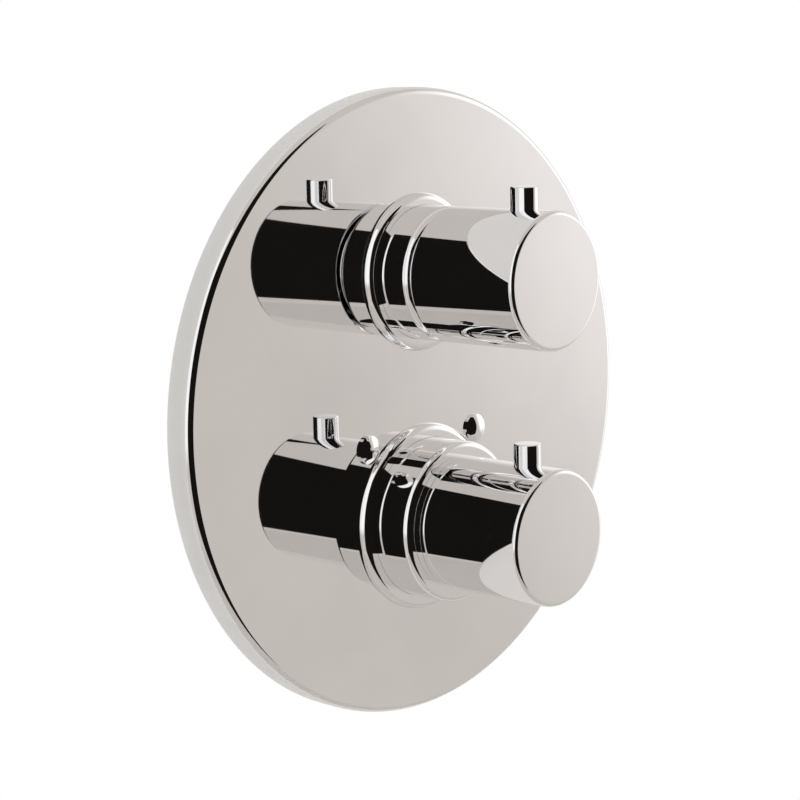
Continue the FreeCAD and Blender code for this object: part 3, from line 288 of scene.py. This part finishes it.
def lathe(name, corners, axis_x, axis_z):
    """Turns an outline about an axis that points straight out of the wall."""
    outline = rounded(corners)
    form = bmesh.new()
    rings = []
    for radius, reach in outline:
        count = TURN_STEPS if radius > ON_AXIS else 1
        ring = []
        for step in range(count):
            angle = 2 * math.pi * step / TURN_STEPS
            ring.append(form.verts.new((axis_x + radius * math.cos(angle), -reach,
                                        axis_z + radius * math.sin(angle))))
        rings.append(ring)
    for inner, outer in zip(rings, rings[1:] + rings[:1]):
        for step in range(TURN_STEPS):
            following = (step + 1) % TURN_STEPS
            corner_ring = [inner[step % len(inner)], inner[following % len(inner)],
                           outer[following % len(outer)], outer[step % len(outer)]]
            unique = list(dict.fromkeys(corner_ring))
            if len(unique) > 2:
                form.faces.new(unique)
    bmesh.ops.recalc_face_normals(form, faces=form.faces)
    return show_form(name, form)


def take_away(piece, cutters):
    """Cuts other meshes out of a piece and throws them away."""
    for cutter in cutters:
        cut = piece.modifiers.new("cut", "BOOLEAN")
        cut.object = cutter
        cut.solver = "EXACT"
    bpy.context.view_layer.update()
    ready = piece.evaluated_get(bpy.context.evaluated_depsgraph_get())
    mesh = bpy.data.meshes.new_from_object(ready)
    piece.modifiers.clear()
    piece.data = mesh
    for cutter in cutters:
        bpy.data.objects.remove(cutter)


def settle(piece, finish, body, node=None):
    """Shades a piece, gives it its finish and hangs it on a body, in a CAD piece's place."""
    piece.data.shade_smooth()
    piece.data.set_sharp_from_angle(angle=CREASE)
    even = piece.modifiers.new("even_shading", "WEIGHTED_NORMAL")
    even.weight = FLAT_FACES_LEAD
    even.keep_sharp = True
    piece.data.materials.clear()
    piece.data.materials.append(finish)
    if node:
        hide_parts(node)
    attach(piece, body)


def middle(node):
    """The centre of a CAD piece's box."""
    low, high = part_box(node)
    return (low + high) / 2


def half_width(node):
    """Half of a CAD piece's width, which is the radius of a turned one."""
    low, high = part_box(node)
    return (high.x - low.x) / 2


def reaches(node):
    """How far a CAD piece's back and front stand out from the wall."""
    low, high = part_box(node)
    return -high.y, -low.y


def hole_cutter(radius, x, z):
    """A round bar that runs right through the plate."""
    low, high = plate_back - CUT_PAST, plate_front + CUT_PAST
    return lathe("cutter", [(0, low), (radius, low), (radius, high), (0, high)], x, z)


plate_r = half_width("cover_plate")
plate_back, plate_front = reaches("cover_plate")
pan_r = plate_r - PLATE_SHEET
pan_floor = plate_front - PLATE_SHEET
flow_z = middle("flow_knob").z
temp_z = middle("temp_flange").z
flow_hole_r = half_width("flow_flange_seal") - SPIGOT_SEAL + PLATE_HOLE_PLAY
temp_hole_r = half_width("temp_flange_seal") - SPIGOT_SEAL + PLATE_HOLE_PLAY
screw_x = half_width("plate_screws") - SCREW_HEAD_R
screw_z = middle("plate_screws").z

plate = lathe("plate", [
    (0, pan_floor), (pan_r, pan_floor), (pan_r, plate_back), (plate_r, plate_back),
    (plate_r, plate_front, PLATE_EDGE), (0, plate_front),
], 0, 0)
take_away(plate, [hole_cutter(flow_hole_r, 0, flow_z), hole_cutter(temp_hole_r, 0, temp_z),
                  hole_cutter(SCREW_HOLE_R, -screw_x, screw_z),
                  hole_cutter(SCREW_HOLE_R, screw_x, screw_z)])
settle(plate, chrome, "valve", "cover_plate")

# the pan's inside, which looks back at the wall, is the second finish of the plate
plate.data.materials.append(dull_chrome())
for face in plate.data.polygons:
    if face.normal.y > LOOKS_BACK and -face.center.y > plate_back + PLATE_SHEET:
        face.material_index = 1

# ---- Plate seal ----
# A ring of closed-cell foam pushed into the pan's rim. It is squeezed against the tiles
# and keeps water from running behind the plate.

FOAM = (0.035, 0.035, 0.038, 1)
FOAM_CELL = 0.45 * mm
CELL_DEPTH = 0.2 * mm


def cell_foam():
    made, tree = new_finish("closed_cell_foam")
    place = tree.nodes.new("ShaderNodeTexCoord")
    cells = tree.nodes.new("ShaderNodeTexVoronoi")
    cells.inputs["Scale"].default_value = 1 / FOAM_CELL
    tree.links.new(place.outputs["Object"], cells.inputs["Vector"])
    away = cells.outputs["Distance"]
    wear(tree, away, away, tones=(FOAM, shade(FOAM, 1.9)), stops=(0.10, 0.65),
         roughness=(0.80, 0.95), depth=CELL_DEPTH)
    return made


coat(cell_foam(), "plate_seal")

# ---- Plate screws and caps ----
# Two long stainless screws run through the plate into the bosses on the body. A small
# chromed cap, a low dome on a thin rim, snaps over each head.

CAP_RIM = 0.8 * mm
CAP_SHEET = 0.4 * mm
CAP_SPREAD = 0.25 * mm
DOME_STEPS = 30


def dome_outline(radius, low, shoulder, top):
    """Up a short rim and over a spherical dome to the axis."""
    height = top - shoulder
    ball = (radius ** 2 + height ** 2) / (2 * height)
    lean = math.asin(radius / ball)
    outline = [(radius, low)]
    for step in range(DOME_STEPS + 1):
        angle = lean * (1 - step / DOME_STEPS)
        outline.append((ball * math.sin(angle), top - ball + ball * math.cos(angle)))
    return outline


coat(stainless, "plate_screws")

cap_back, cap_front = reaches("screw_caps")
cap_front += CAP_SPREAD
cap_low, cap_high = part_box("screw_caps")
cap_r = (cap_high.z - cap_low.z) / 2 + CAP_SPREAD
cap_x = cap_high.x + CAP_SPREAD - cap_r
cap_z = middle("screw_caps").z
dome_foot = cap_back + CAP_RIM
for side, x, node in (("left", -cap_x, "screw_caps"), ("right", cap_x, None)):
    outside = dome_outline(cap_r, cap_back, dome_foot, cap_front)
    inside = dome_outline(cap_r - CAP_SHEET, cap_back, dome_foot, cap_front - CAP_SHEET)
    cap = lathe(side + "_screw_cap", outside + inside[::-1], x, cap_z)
    settle(cap, chrome, "valve", node)

# ---- Flanges ----
# Two turned rings with a quarter-round face. Each lies flat on the plate round its
# sleeve, and its thin spigot drops through the plate's hole to centre it.

FLANGE_ROUND = 2.3 * mm
SPIGOT_SHEET = 0.95 * mm
SNUG_PLAY = 0.05 * mm


def flange(name, node, sleeve_r, z):
    back, front = reaches(node)
    outer_r = half_width(node)
    bore_r = sleeve_r + SNUG_PLAY
    spigot_r = bore_r + SPIGOT_SHEET
    ring = lathe(name, [
        (bore_r, back), (spigot_r, back), (spigot_r, plate_front), (outer_r, plate_front),
        (outer_r, front, FLANGE_ROUND), (bore_r, front),
    ], 0, z)
    settle(ring, chrome, "valve", node)


flow_sleeve_r = half_width("flow_sleeve")
temp_shroud_r = half_width("temp_shroud")
flange("upper_flange", "flow_flange", flow_sleeve_r, flow_z)
flange("lower_flange", "temp_flange", temp_shroud_r, temp_z)

# ---- Sleeves ----
# Turned tubes screwed on the two sockets. The upper one ends in a round shoulder and a
# narrow nose; the lower one is a wider drum with a short collar the knob's own size.

SLEEVE_ROUND = 2.5 * mm
SLEEVE_WALL = 2.35 * mm
NOSE_STEP = 2.7 * mm
NOSE_LENGTH = 0.8 * mm
NOSE_BORE = 12 * mm
WEB = 2.2 * mm
DRUM_ROUND = 1.8 * mm
DRUM_WALL = 1.6 * mm
COLLAR_LENGTH = 0.9 * mm
COLLAR_ROUND = 0.05 * mm
KNOB_SEAM = 0.1 * mm

knob_r = half_width("flow_knob")
sleeve_back, sleeve_front = reaches("flow_sleeve")
shoulder = sleeve_front - NOSE_LENGTH
nose_r = flow_sleeve_r - NOSE_STEP
sleeve_bore = flow_sleeve_r - SLEEVE_WALL
sleeve = lathe("upper_sleeve", [
    (sleeve_bore, sleeve_back), (flow_sleeve_r, sleeve_back),
    (flow_sleeve_r, shoulder, SLEEVE_ROUND), (nose_r, shoulder), (nose_r, sleeve_front),
    (NOSE_BORE, sleeve_front), (NOSE_BORE, shoulder - WEB), (sleeve_bore, shoulder - WEB),
], 0, flow_z)
settle(sleeve, chrome, "valve", "flow_sleeve")

drum_back, shroud_front = reaches("temp_shroud")
drum_front = shroud_front - COLLAR_LENGTH
collar_front = reaches("temp_knob")[0] - KNOB_SEAM
drum_bore = temp_shroud_r - DRUM_WALL
drum = lathe("lower_drum", [
    (drum_bore, drum_back), (temp_shroud_r, drum_back), (temp_shroud_r, drum_front, DRUM_ROUND),
    (knob_r, drum_front), (knob_r, collar_front, COLLAR_ROUND), (NOSE_BORE, collar_front),
    (NOSE_BORE, drum_front - WEB), (drum_bore, drum_front - WEB),
], 0, temp_z)
settle(drum, chrome, "valve", "temp_shroud")

# ---- Knobs ----
# Two solid-looking cups turned from brass bar and chromed, with a flat face and a small
# round edge. A hub inside grips the splined plug, and a grub screw underneath locks it.

KNOB_EDGE = 1.4 * mm
KNOB_BACK_EDGE = 0.05 * mm
KNOB_WALL = 2.45 * mm
KNOB_FACE = 3.3 * mm
HUB_R = 11 * mm
HUB_BACK = 34 * mm
HUB_BORE = 7.55 * mm
HUB_FLOOR = 56.05 * mm
LEVER_SEAT = 1.25 * mm
GRUB_HOLE = 2.5 * mm
GRUB_REACH = 44 * mm
BAR_STEPS = 64
BLACK_OXIDE = (0.03, 0.03, 0.032, 1)


def round_bar(radius, start, end):
    """A plain round bar between two points, for cutting a hole."""
    form = bmesh.new()
    bmesh.ops.create_cone(form, cap_ends=True, segments=BAR_STEPS, radius1=radius,
                          radius2=radius, depth=(end - start).length)
    turn = Vector((0, 0, 1)).rotation_difference(end - start).to_matrix().to_4x4()
    form.transform(Matrix.Translation((start + end) / 2) @ turn)
    return show_form("cutter", form)


def knob(name, node, lever_node, body, z):
    back, front = reaches(node)
    cavity_r = knob_r - KNOB_WALL
    cavity = front - KNOB_FACE
    cup = lathe(name, [
        (0, front), (knob_r, front, KNOB_EDGE), (knob_r, back, KNOB_BACK_EDGE),
        (cavity_r, back), (cavity_r, cavity, KNOB_EDGE), (HUB_R, cavity, KNOB_EDGE),
        (HUB_R, HUB_BACK), (HUB_BORE, HUB_BACK), (HUB_BORE, HUB_FLOOR), (0, HUB_FLOOR),
    ], 0, z)
    lever_y = middle(lever_node).y
    seat = Vector((0, lever_y, z + knob_r - LEVER_SEAT))
    above = Vector((0, lever_y, z + knob_r + CUT_PAST))
    hub = Vector((0, -GRUB_REACH, z - HUB_BORE))
    under = Vector((0, -GRUB_REACH, z - knob_r - CUT_PAST))
    take_away(cup, [round_bar(half_width(lever_node) + SNUG_PLAY, seat, above),
                    round_bar(GRUB_HOLE, hub, under)])
    settle(cup, chrome, body, node)


knob("upper_knob", "flow_knob", "flow_lever", "flow_control", flow_z)
knob("lower_knob", "temp_knob", "temp_lever", "temp_control", temp_z)
coat(bare_metal("black_oxide_steel", BLACK_OXIDE, roughness=0.35),
     "flow_grub_screw", "temp_grub_screw")

# ---- Levers ----
# A short chromed pin stands up from each knob near its front, so that a wet hand can
# turn it. It has a flat end with a small round edge and screws into the hub.

LEVER_EDGE = 0.5 * mm
LEVER_STEM = 3 * mm


def lever(name, node, body, z):
    low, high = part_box(node)
    radius = half_width(node)
    seat = z + knob_r - LEVER_SEAT
    pin = lathe(name, [
        (0, low.z), (LEVER_STEM, low.z), (LEVER_STEM, seat), (radius, seat),
        (radius, high.z, LEVER_EDGE), (0, high.z),
    ], 0, 0)
    stand_up = Matrix.Rotation(-math.pi / 2, 4, "X")
    pin.data.transform(Matrix.Translation((0, middle(node).y, 0)) @ stand_up)
    settle(pin, chrome, body, node)


lever("upper_lever", "flow_lever", "flow_control", flow_z)
lever("lower_lever", "temp_lever", "temp_control", temp_z)

# ---- Springs ----
# Coils of stainless wire with closed ends. One keeps each non-return poppet shut, one
# pushes the thermostat's shuttle back, and one in the keyed nut gives way when the
# element has nowhere left to go.

SPRING_STEPS = 40
WIRE_STEPS = 10
CHECK_WIRE_R = 0.4 * mm
CHECK_TURNS = 3
THERMOSTAT_WIRE_R = 0.7 * mm
RETURN_TURNS = 4
OVERLOAD_TURNS = 3

# which axis a spring lies along
SIDEWAYS, OUTWARDS = 0, 1

spring_wire = bare_metal("spring_wire", STEEL_GREY, roughness=0.20)


def wind(name, rings):
    """Joins rings of points, each to the next, into one closed winding."""
    form = bmesh.new()
    last = None
    for points in rings:
        ring = [form.verts.new(point) for point in points]
        if last:
            for i in range(len(ring)):
                following = (i + 1) % len(ring)
                form.faces.new((last[i], last[following], ring[following], ring[i]))
        else:
            form.faces.new(ring)
        last = ring
    form.faces.new(last[::-1])
    bmesh.ops.recalc_face_normals(form, faces=form.faces)
    return show_form(name, form)


def coil_spring(name, node, along, wire_r, turns, body):
    """Winds a closed-end spring that fills a CAD spring's box along one of its axes."""
    low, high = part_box(node)
    centre = (low + high) / 2
    aside, upward = [axis for axis in range(3) if axis != along]
    ring_r = (high[aside] - low[aside]) / 2 - wire_r
    rise = high[along] - low[along] - 2 * wire_r
    closed = 2 * wire_r
    rings = []
    for step in range((turns + 2) * SPRING_STEPS + 1):
        wound = step / SPRING_STEPS
        if wound < 1:
            lift = closed * wound
        elif wound > turns + 1:
            lift = rise - closed * (turns + 2 - wound)
        else:
            lift = closed + (rise - 2 * closed) * (wound - 1) / turns
        angle = 2 * math.pi * wound
        ring = []
        for i in range(WIRE_STEPS):
            round_wire = 2 * math.pi * i / WIRE_STEPS
            reach = ring_r + wire_r * math.cos(round_wire)
            place = [0, 0, 0]
            place[along] = low[along] + wire_r + lift + wire_r * math.sin(round_wire)
            place[aside] = centre[aside] + reach * math.cos(angle)
            place[upward] = centre[upward] + reach * math.sin(angle)
            ring.append(place)
        rings.append(ring)
    spring = wind(name, rings)
    settle(spring, spring_wire, body, node)
    return spring


for side, joint, held in (("hot", "hot_check_lift", 1), ("cold", "cold_check_lift", 0)):
    node = side + "_check_spring"
    spring = coil_spring(side + "_check_coil", node, SIDEWAYS, CHECK_WIRE_R, CHECK_TURNS, "valve")
    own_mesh(spring)

spring = coil_spring("return_coil", "return_spring", OUTWARDS, THERMOSTAT_WIRE_R,
                     RETURN_TURNS, "valve")
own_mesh(spring)
coil_spring("overload_coil", "overload_spring", OUTWARDS, THERMOSTAT_WIRE_R,
            OVERLOAD_TURNS, "thermostat_slide")

# ---- Threads and turned faces of the body ----
# What the lathe and the taps leave on the casting: a bright face round each port's mouth
# and each fixing hole, half-inch pipe threads inside the ports, and the threads that the
# two sleeves and the plate screws run on.

PORT_R = 9.32 * mm
PORT_OUTER_R = 15.02 * mm
PORT_EDGE = 1.0 * mm
PORT_THREAD = 15 * mm
PIPE_PITCH = 1.814 * mm
PIPE_RIDGE = 0.62 * mm
OUTLET_Y = 28 * mm
FACE_CUT = 0.12 * mm
FIXING_X = 45 * mm
FIXING_Z = 15 * mm
FIXING_HOLE_R = 2.75 * mm
SPOT_R = 5.4 * mm
FIXING_PLATE = 5 * mm
SCREW_R = 2.0 * mm
SCREW_PITCH = 0.7 * mm
SCREW_RIDGE = 0.30 * mm
SCREW_PLAIN = 12 * mm
SLEEVE_PITCH = 1.0 * mm
SLEEVE_RIDGE = 0.5 * mm
FLOW_THREAD_END = -14 * mm
TEMP_THREAD_END = -12 * mm

# a thread's shape: half its foot and half its crest as shares of the pitch, how deep the
# foot is sunk, the turn in which the ridge grows to its height, and the share it starts from
THREAD_STEPS = 48
THREAD_FOOT = 0.46
THREAD_CREST = 0.07
THREAD_SINK = 0.02 * mm
RUN_OUT = 0.25
RUN_OUT_START = 0.05

OUT_OF_WALL = (0, -1, 0)


def stand(piece, foot, toward):
    """Moves a piece made about the wall's axis so that it stands on a foot, along a line."""
    turn = Vector(OUT_OF_WALL).rotation_difference(Vector(toward)).to_matrix().to_4x4()
    piece.data.transform(Matrix.Translation(Vector(foot)) @ turn)
    return piece


def thread(name, radius, ridge, pitch, start, end):
    """A screw thread's ridge wound between two reaches; a ridge below zero points inwards."""
    count = round(((end - start) / pitch - 1) * THREAD_STEPS)
    foot = radius - math.copysign(THREAD_SINK, ridge)
    rings = []
    for step in range(count + 1):
        turned = step / THREAD_STEPS
        grown = min(1, turned / RUN_OUT, (count / THREAD_STEPS - turned) / RUN_OUT)
        crest = radius + ridge * max(grown, RUN_OUT_START)
        angle = 2 * math.pi * turned
        ring = []
        for r, share in ((foot, -THREAD_FOOT), (crest, -THREAD_CREST),
                         (crest, THREAD_CREST), (foot, THREAD_FOOT)):
            reach = start + pitch * (turned + 0.5 + share)
            ring.append((r * math.cos(angle), -reach, r * math.sin(angle)))
        rings.append(ring)
    return wind(name, rings)


def turned_face(name, inner_r, outer_r):
    """A bright ring left by a facing cut, with both its edges just broken."""
    return lathe(name, [
        (inner_r, -FACE_CUT), (outer_r, -FACE_CUT), (outer_r, 0), (outer_r - FACE_CUT, FACE_CUT),
        (inner_r + FACE_CUT, FACE_CUT), (inner_r, 0),
    ], 0, 0)


body_low, body_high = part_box("valve_body")
hot_axis = middle("hot_check_body")
cold_axis = middle("cold_check_body")
for name, mouth, toward in (
        ("hot_port", (body_low.x, hot_axis.y, hot_axis.z), (-1, 0, 0)),
        ("cold_port", (body_high.x, cold_axis.y, cold_axis.z), (1, 0, 0)),
        ("outlet_port", (0, OUTLET_Y, body_high.z), (0, 0, 1))):
    face = turned_face(name + "_face", PORT_R, PORT_OUTER_R - PORT_EDGE)
    winding = thread(name + "_thread", PORT_R, -PIPE_RIDGE, PIPE_PITCH, -PORT_THREAD, 0)
    for piece in (face, winding):
        settle(stand(piece, mouth, toward), turned_brass, "valve")

fixing_y = body_high.y - FIXING_PLATE
fixing_z = (flow_z + temp_z) / 2
for side, x in (("left", -FIXING_X), ("right", FIXING_X)):
    for level, z in (("low", fixing_z - FIXING_Z), ("high", fixing_z + FIXING_Z)):
        spot = turned_face("_".join((side, level, "spot_face")), FIXING_HOLE_R, SPOT_R)
        stand(spot, (x, fixing_y, z), OUT_OF_WALL)
        settle(spot, turned_brass, "valve")

for name, bore_r, low, high, z in (
        ("upper_socket_thread", sleeve_bore, FLOW_THREAD_END, sleeve_back, flow_z),
        ("lower_socket_thread", drum_bore, TEMP_THREAD_END, drum_back, temp_z)):
    winding = thread(name, bore_r - SNUG_PLAY, SLEEVE_RIDGE, SLEEVE_PITCH, low, high)
    stand(winding, (0, 0, z), OUT_OF_WALL)
    settle(winding, turned_brass, "valve")

screw_tip = reaches("plate_screws")[0]
screw_thread_end = plate_front - SCREW_PLAIN
for side, x in (("left", -screw_x), ("right", screw_x)):
    winding = thread(side + "_screw_thread", SCREW_R, SCREW_RIDGE, SCREW_PITCH,
                     screw_tip, screw_thread_end)
    stand(winding, (x, 0, screw_z), OUT_OF_WALL)
    settle(winding, stainless, "valve")

# ---- Studio ----
# The valve sits on a plain pale wall, above a pale floor, in a large soft studio: a soft
# round light to the right, a white panel to the left and a black card in front, which
# chrome needs to look like chrome. The camera sees plain white behind it all.

WHITE = (1.0, 1.0, 1.0)
WARM_GREY = (0.59, 0.55, 0.515)
LAMP_WHITE = (1.35, 1.31, 1.29)
CARD_BLACK = (0.0078, 0.0066, 0.0060)
# the round light: degrees to the right and up, degrees where it starts to fade and has faded
ROUND_LIGHT = (73.9, 6.6, 12.8, 33.6)
# each flat panel: degrees to the right, its left, right, bottom and top sides as steps
# sideways or up for one step towards it, and how softly its sides fade
WHITE_PANEL = (-87, -0.76, 0.72, -0.24, 1.65, 0.10)
BLACK_CARD = (-12, -0.84, 1.0, -0.79, 0.985, 0.002)
MATT = 0.9
FLOOR_DROP = 1.1
FLOOR_R = 1.35
FLOOR_SIDES = 120
FLOOR_COLOUR = (0.84, 0.82, 0.80, 1)
FLOOR_GLOW = 0.53
WALL_HALF = 1.1
WALL_BACK = 0.2 * mm
WALL_COLOUR = (0.80, 0.79, 0.77, 1)
WALL_GLOW = 0.52


def glow(tree, kind, colour):
    """An even light of its own, on a surface or in the world."""
    light = tree.nodes.new(kind)
    light.inputs["Color"].default_value = (*colour, 1)
    light.inputs["Strength"].default_value = 1.0
    return light.outputs[0]


def choose(tree, test, otherwise, when):
    """One shading, or another where the test says so."""
    mix = tree.nodes.new("ShaderNodeMixShader")
    for socket, value in zip(mix.inputs, (test, otherwise, when)):
        tree.links.new(value, socket)
    return mix.outputs["Shader"]


def seen_by_camera(tree):
    """Whether the light path comes straight from the camera."""
    return tree.nodes.new("ShaderNodeLightPath").outputs["Is Camera Ray"]


def maths(tree, operation, first, second=None):
    """One sum on one or two amounts."""
    node = tree.nodes.new("ShaderNodeMath")
    node.operation = operation
    for socket, amount in zip(node.inputs, (first, second)):
        if isinstance(amount, (int, float)):
            socket.default_value = amount
        elif amount is not None:
            tree.links.new(amount, socket)
    return node.outputs["Value"]


def paint(tree, share, under, colour):
    """Covers one colour with another by a share."""
    mix = tree.nodes.new("ShaderNodeMix")
    mix.data_type = "RGBA"
    tree.links.new(share, mix.inputs["Factor"])
    tree.links.new(under, mix.inputs["A"])
    mix.inputs["B"].default_value = (*colour, 1)
    return mix.outputs["Result"]


def step_along(tree, direction, line):
    """How far a step in a direction goes along a line."""
    dot = tree.nodes.new("ShaderNodeVectorMath")
    dot.operation = "DOT_PRODUCT"
    tree.links.new(direction, dot.inputs[0])
    dot.inputs[1].default_value = line
    return dot.outputs["Value"]


def ease(tree, amount, none, full):
    """Rises softly from 0 where the amount is at one value to 1 where it is at another."""
    rise = tree.nodes.new("ShaderNodeMapRange")
    rise.interpolation_type = "SMOOTHSTEP"
    rise.inputs["From Min"].default_value = none
    rise.inputs["From Max"].default_value = full
    tree.links.new(amount, rise.inputs["Value"])
    return rise.outputs["Result"]


def light_share(tree, direction, right, up, fade, faded):
    """How strongly a round light shows in a direction: 1 inside it, 0 outside."""
    turn, lift = math.radians(right), math.radians(up)
    line = (math.sin(turn) * math.cos(lift), -math.cos(turn) * math.cos(lift), math.sin(lift))
    away = maths(tree, "ARCCOSINE", step_along(tree, direction, line))
    return ease(tree, away, math.radians(faded), math.radians(fade))


def panel_share(tree, direction, facing, left, right, bottom, top, fade):
    """1 where a direction meets a flat upright panel, 0 elsewhere."""
    turn = math.radians(facing)
    forward = step_along(tree, direction, (math.sin(turn), -math.cos(turn), 0))
    sideways = step_along(tree, direction, (math.cos(turn), math.sin(turn), 0))
    upward = step_along(tree, direction, (0, 0, 1))
    aside = maths(tree, "DIVIDE", sideways, forward)
    rise = maths(tree, "DIVIDE", upward, forward)
    share = maths(tree, "GREATER_THAN", forward, 0.0)
    for amount, low, high in ((aside, left, right), (rise, bottom, top)):
        for inside in (ease(tree, amount, low - fade, low + fade),
                       ease(tree, amount, high + fade, high - fade)):
            share = maths(tree, "MULTIPLY", share, inside)
    return share


def studio_world():
    world = bpy.data.worlds.new("studio")
    bpy.context.scene.world = world
    world.use_nodes = True
    tree = world.node_tree
    tree.nodes.clear()
    direction = tree.nodes.new("ShaderNodeTexCoord").outputs["Generated"]
    room = tree.nodes.new("ShaderNodeRGB")
    lit = room.outputs["Color"]
    lit.default_value = (*WARM_GREY, 1)
    lit = paint(tree, light_share(tree, direction, *ROUND_LIGHT), lit, LAMP_WHITE)
    lit = paint(tree, panel_share(tree, direction, *WHITE_PANEL), lit, WHITE)
    lit = paint(tree, panel_share(tree, direction, *BLACK_CARD), lit, CARD_BLACK)
    light = tree.nodes.new("ShaderNodeBackground")
    tree.links.new(lit, light.inputs["Color"])
    shown = choose(tree, seen_by_camera(tree), light.outputs["Background"],
                   glow(tree, "ShaderNodeBackground", WHITE))
    tree.links.new(shown, tree.nodes.new("ShaderNodeOutputWorld").inputs["Surface"])


def lit_surface(tree, colour, level):
    """A matt surface, and the same with some even light of its own."""
    shader = tree.nodes["Principled BSDF"]
    shader.inputs["Base Color"].default_value = colour
    shader.inputs["Specular IOR Level"].default_value = 0.0
    both = tree.nodes.new("ShaderNodeAddShader")
    tree.links.new(shader.outputs["BSDF"], both.inputs[0])
    tree.links.new(glow(tree, "ShaderNodeEmission", shade(colour, level)[:3]), both.inputs[1])
    return shader.outputs["BSDF"], both.outputs["Shader"]


def pale_floor():
    made, tree = new_finish("studio_floor", roughness=MATT)
    plain, lifted = lit_surface(tree, FLOOR_COLOUR, FLOOR_GLOW)
    shown = choose(tree, seen_by_camera(tree), plain, lifted)
    tree.links.new(shown, tree.nodes["Material Output"].inputs["Surface"])
    return made


def pale_wall():
    """White to the camera and pale to the chrome, but clear from behind."""
    made, tree = new_finish("studio_wall", roughness=MATT)
    lifted = lit_surface(tree, WALL_COLOUR, WALL_GLOW)[1]
    shown = choose(tree, seen_by_camera(tree), lifted, glow(tree, "ShaderNodeEmission", WHITE))
    behind = tree.nodes.new("ShaderNodeNewGeometry").outputs["Backfacing"]
    clear = tree.nodes.new("ShaderNodeBsdfTransparent").outputs["BSDF"]
    tree.links.new(choose(tree, behind, shown, clear),
                   tree.nodes["Material Output"].inputs["Surface"])
    return made


def sheet(name, corners, finish):
    """A flat sheet of the studio, which isn't part of the valve."""
    mesh = bpy.data.meshes.new(name)
    mesh.from_pydata(corners, [], [list(range(len(corners)))])
    mesh.materials.append(finish)
    show(name, mesh)


studio_world()
floor_edge = []
for side in range(FLOOR_SIDES):
    angle = 2 * math.pi * side / FLOOR_SIDES
    floor_edge.append((FLOOR_R * math.cos(angle), FLOOR_R * math.sin(angle), -FLOOR_DROP))
sheet("studio_floor", floor_edge, pale_floor())
sheet("studio_wall", [(-WALL_HALF, WALL_BACK, -FLOOR_DROP), (WALL_HALF, WALL_BACK, -FLOOR_DROP),
                      (WALL_HALF, WALL_BACK, WALL_HALF), (-WALL_HALF, WALL_BACK, WALL_HALF)],
      pale_wall())

# ---- Camera ----
# Left of the valve and a little above it, as the photographer stood, with a long lens
# pointed at the middle of the plate's back.

CAMERA_AZIMUTH = math.radians(-47.178)
CAMERA_ELEVATION = math.radians(9.142)
CAMERA_ROLL = math.radians(-1.252)
CAMERA_DISTANCE = 0.71085
CAMERA_LENS = 99.2
CAMERA_SHIFT = (-0.0015, 0.0002)
CAMERA_FILM = 36
CAMERA_NEAREST = 0.05
CAMERA_FARTHEST = 50

toward = Vector((math.sin(CAMERA_AZIMUTH) * math.cos(CAMERA_ELEVATION),
                 -math.cos(CAMERA_AZIMUTH) * math.cos(CAMERA_ELEVATION),
                 math.sin(CAMERA_ELEVATION)))
level = Vector((0, 0, 1)).cross(toward).normalized()
upright = toward.cross(level)
across = level * math.cos(CAMERA_ROLL) + upright * math.sin(CAMERA_ROLL)
above = upright * math.cos(CAMERA_ROLL) - level * math.sin(CAMERA_ROLL)
camera = show("camera", bpy.data.cameras.new("camera"))
camera.matrix_world = (Matrix.Translation(toward * CAMERA_DISTANCE)
                       @ Matrix((across, above, toward)).transposed().to_4x4())
camera.data.lens = CAMERA_LENS
camera.data.sensor_width = CAMERA_FILM
camera.data.shift_x, camera.data.shift_y = CAMERA_SHIFT
camera.data.clip_start = CAMERA_NEAREST
camera.data.clip_end = CAMERA_FARTHEST
bpy.context.scene.camera = camera
bpy.context.scene.view_settings.view_transform = "Standard"
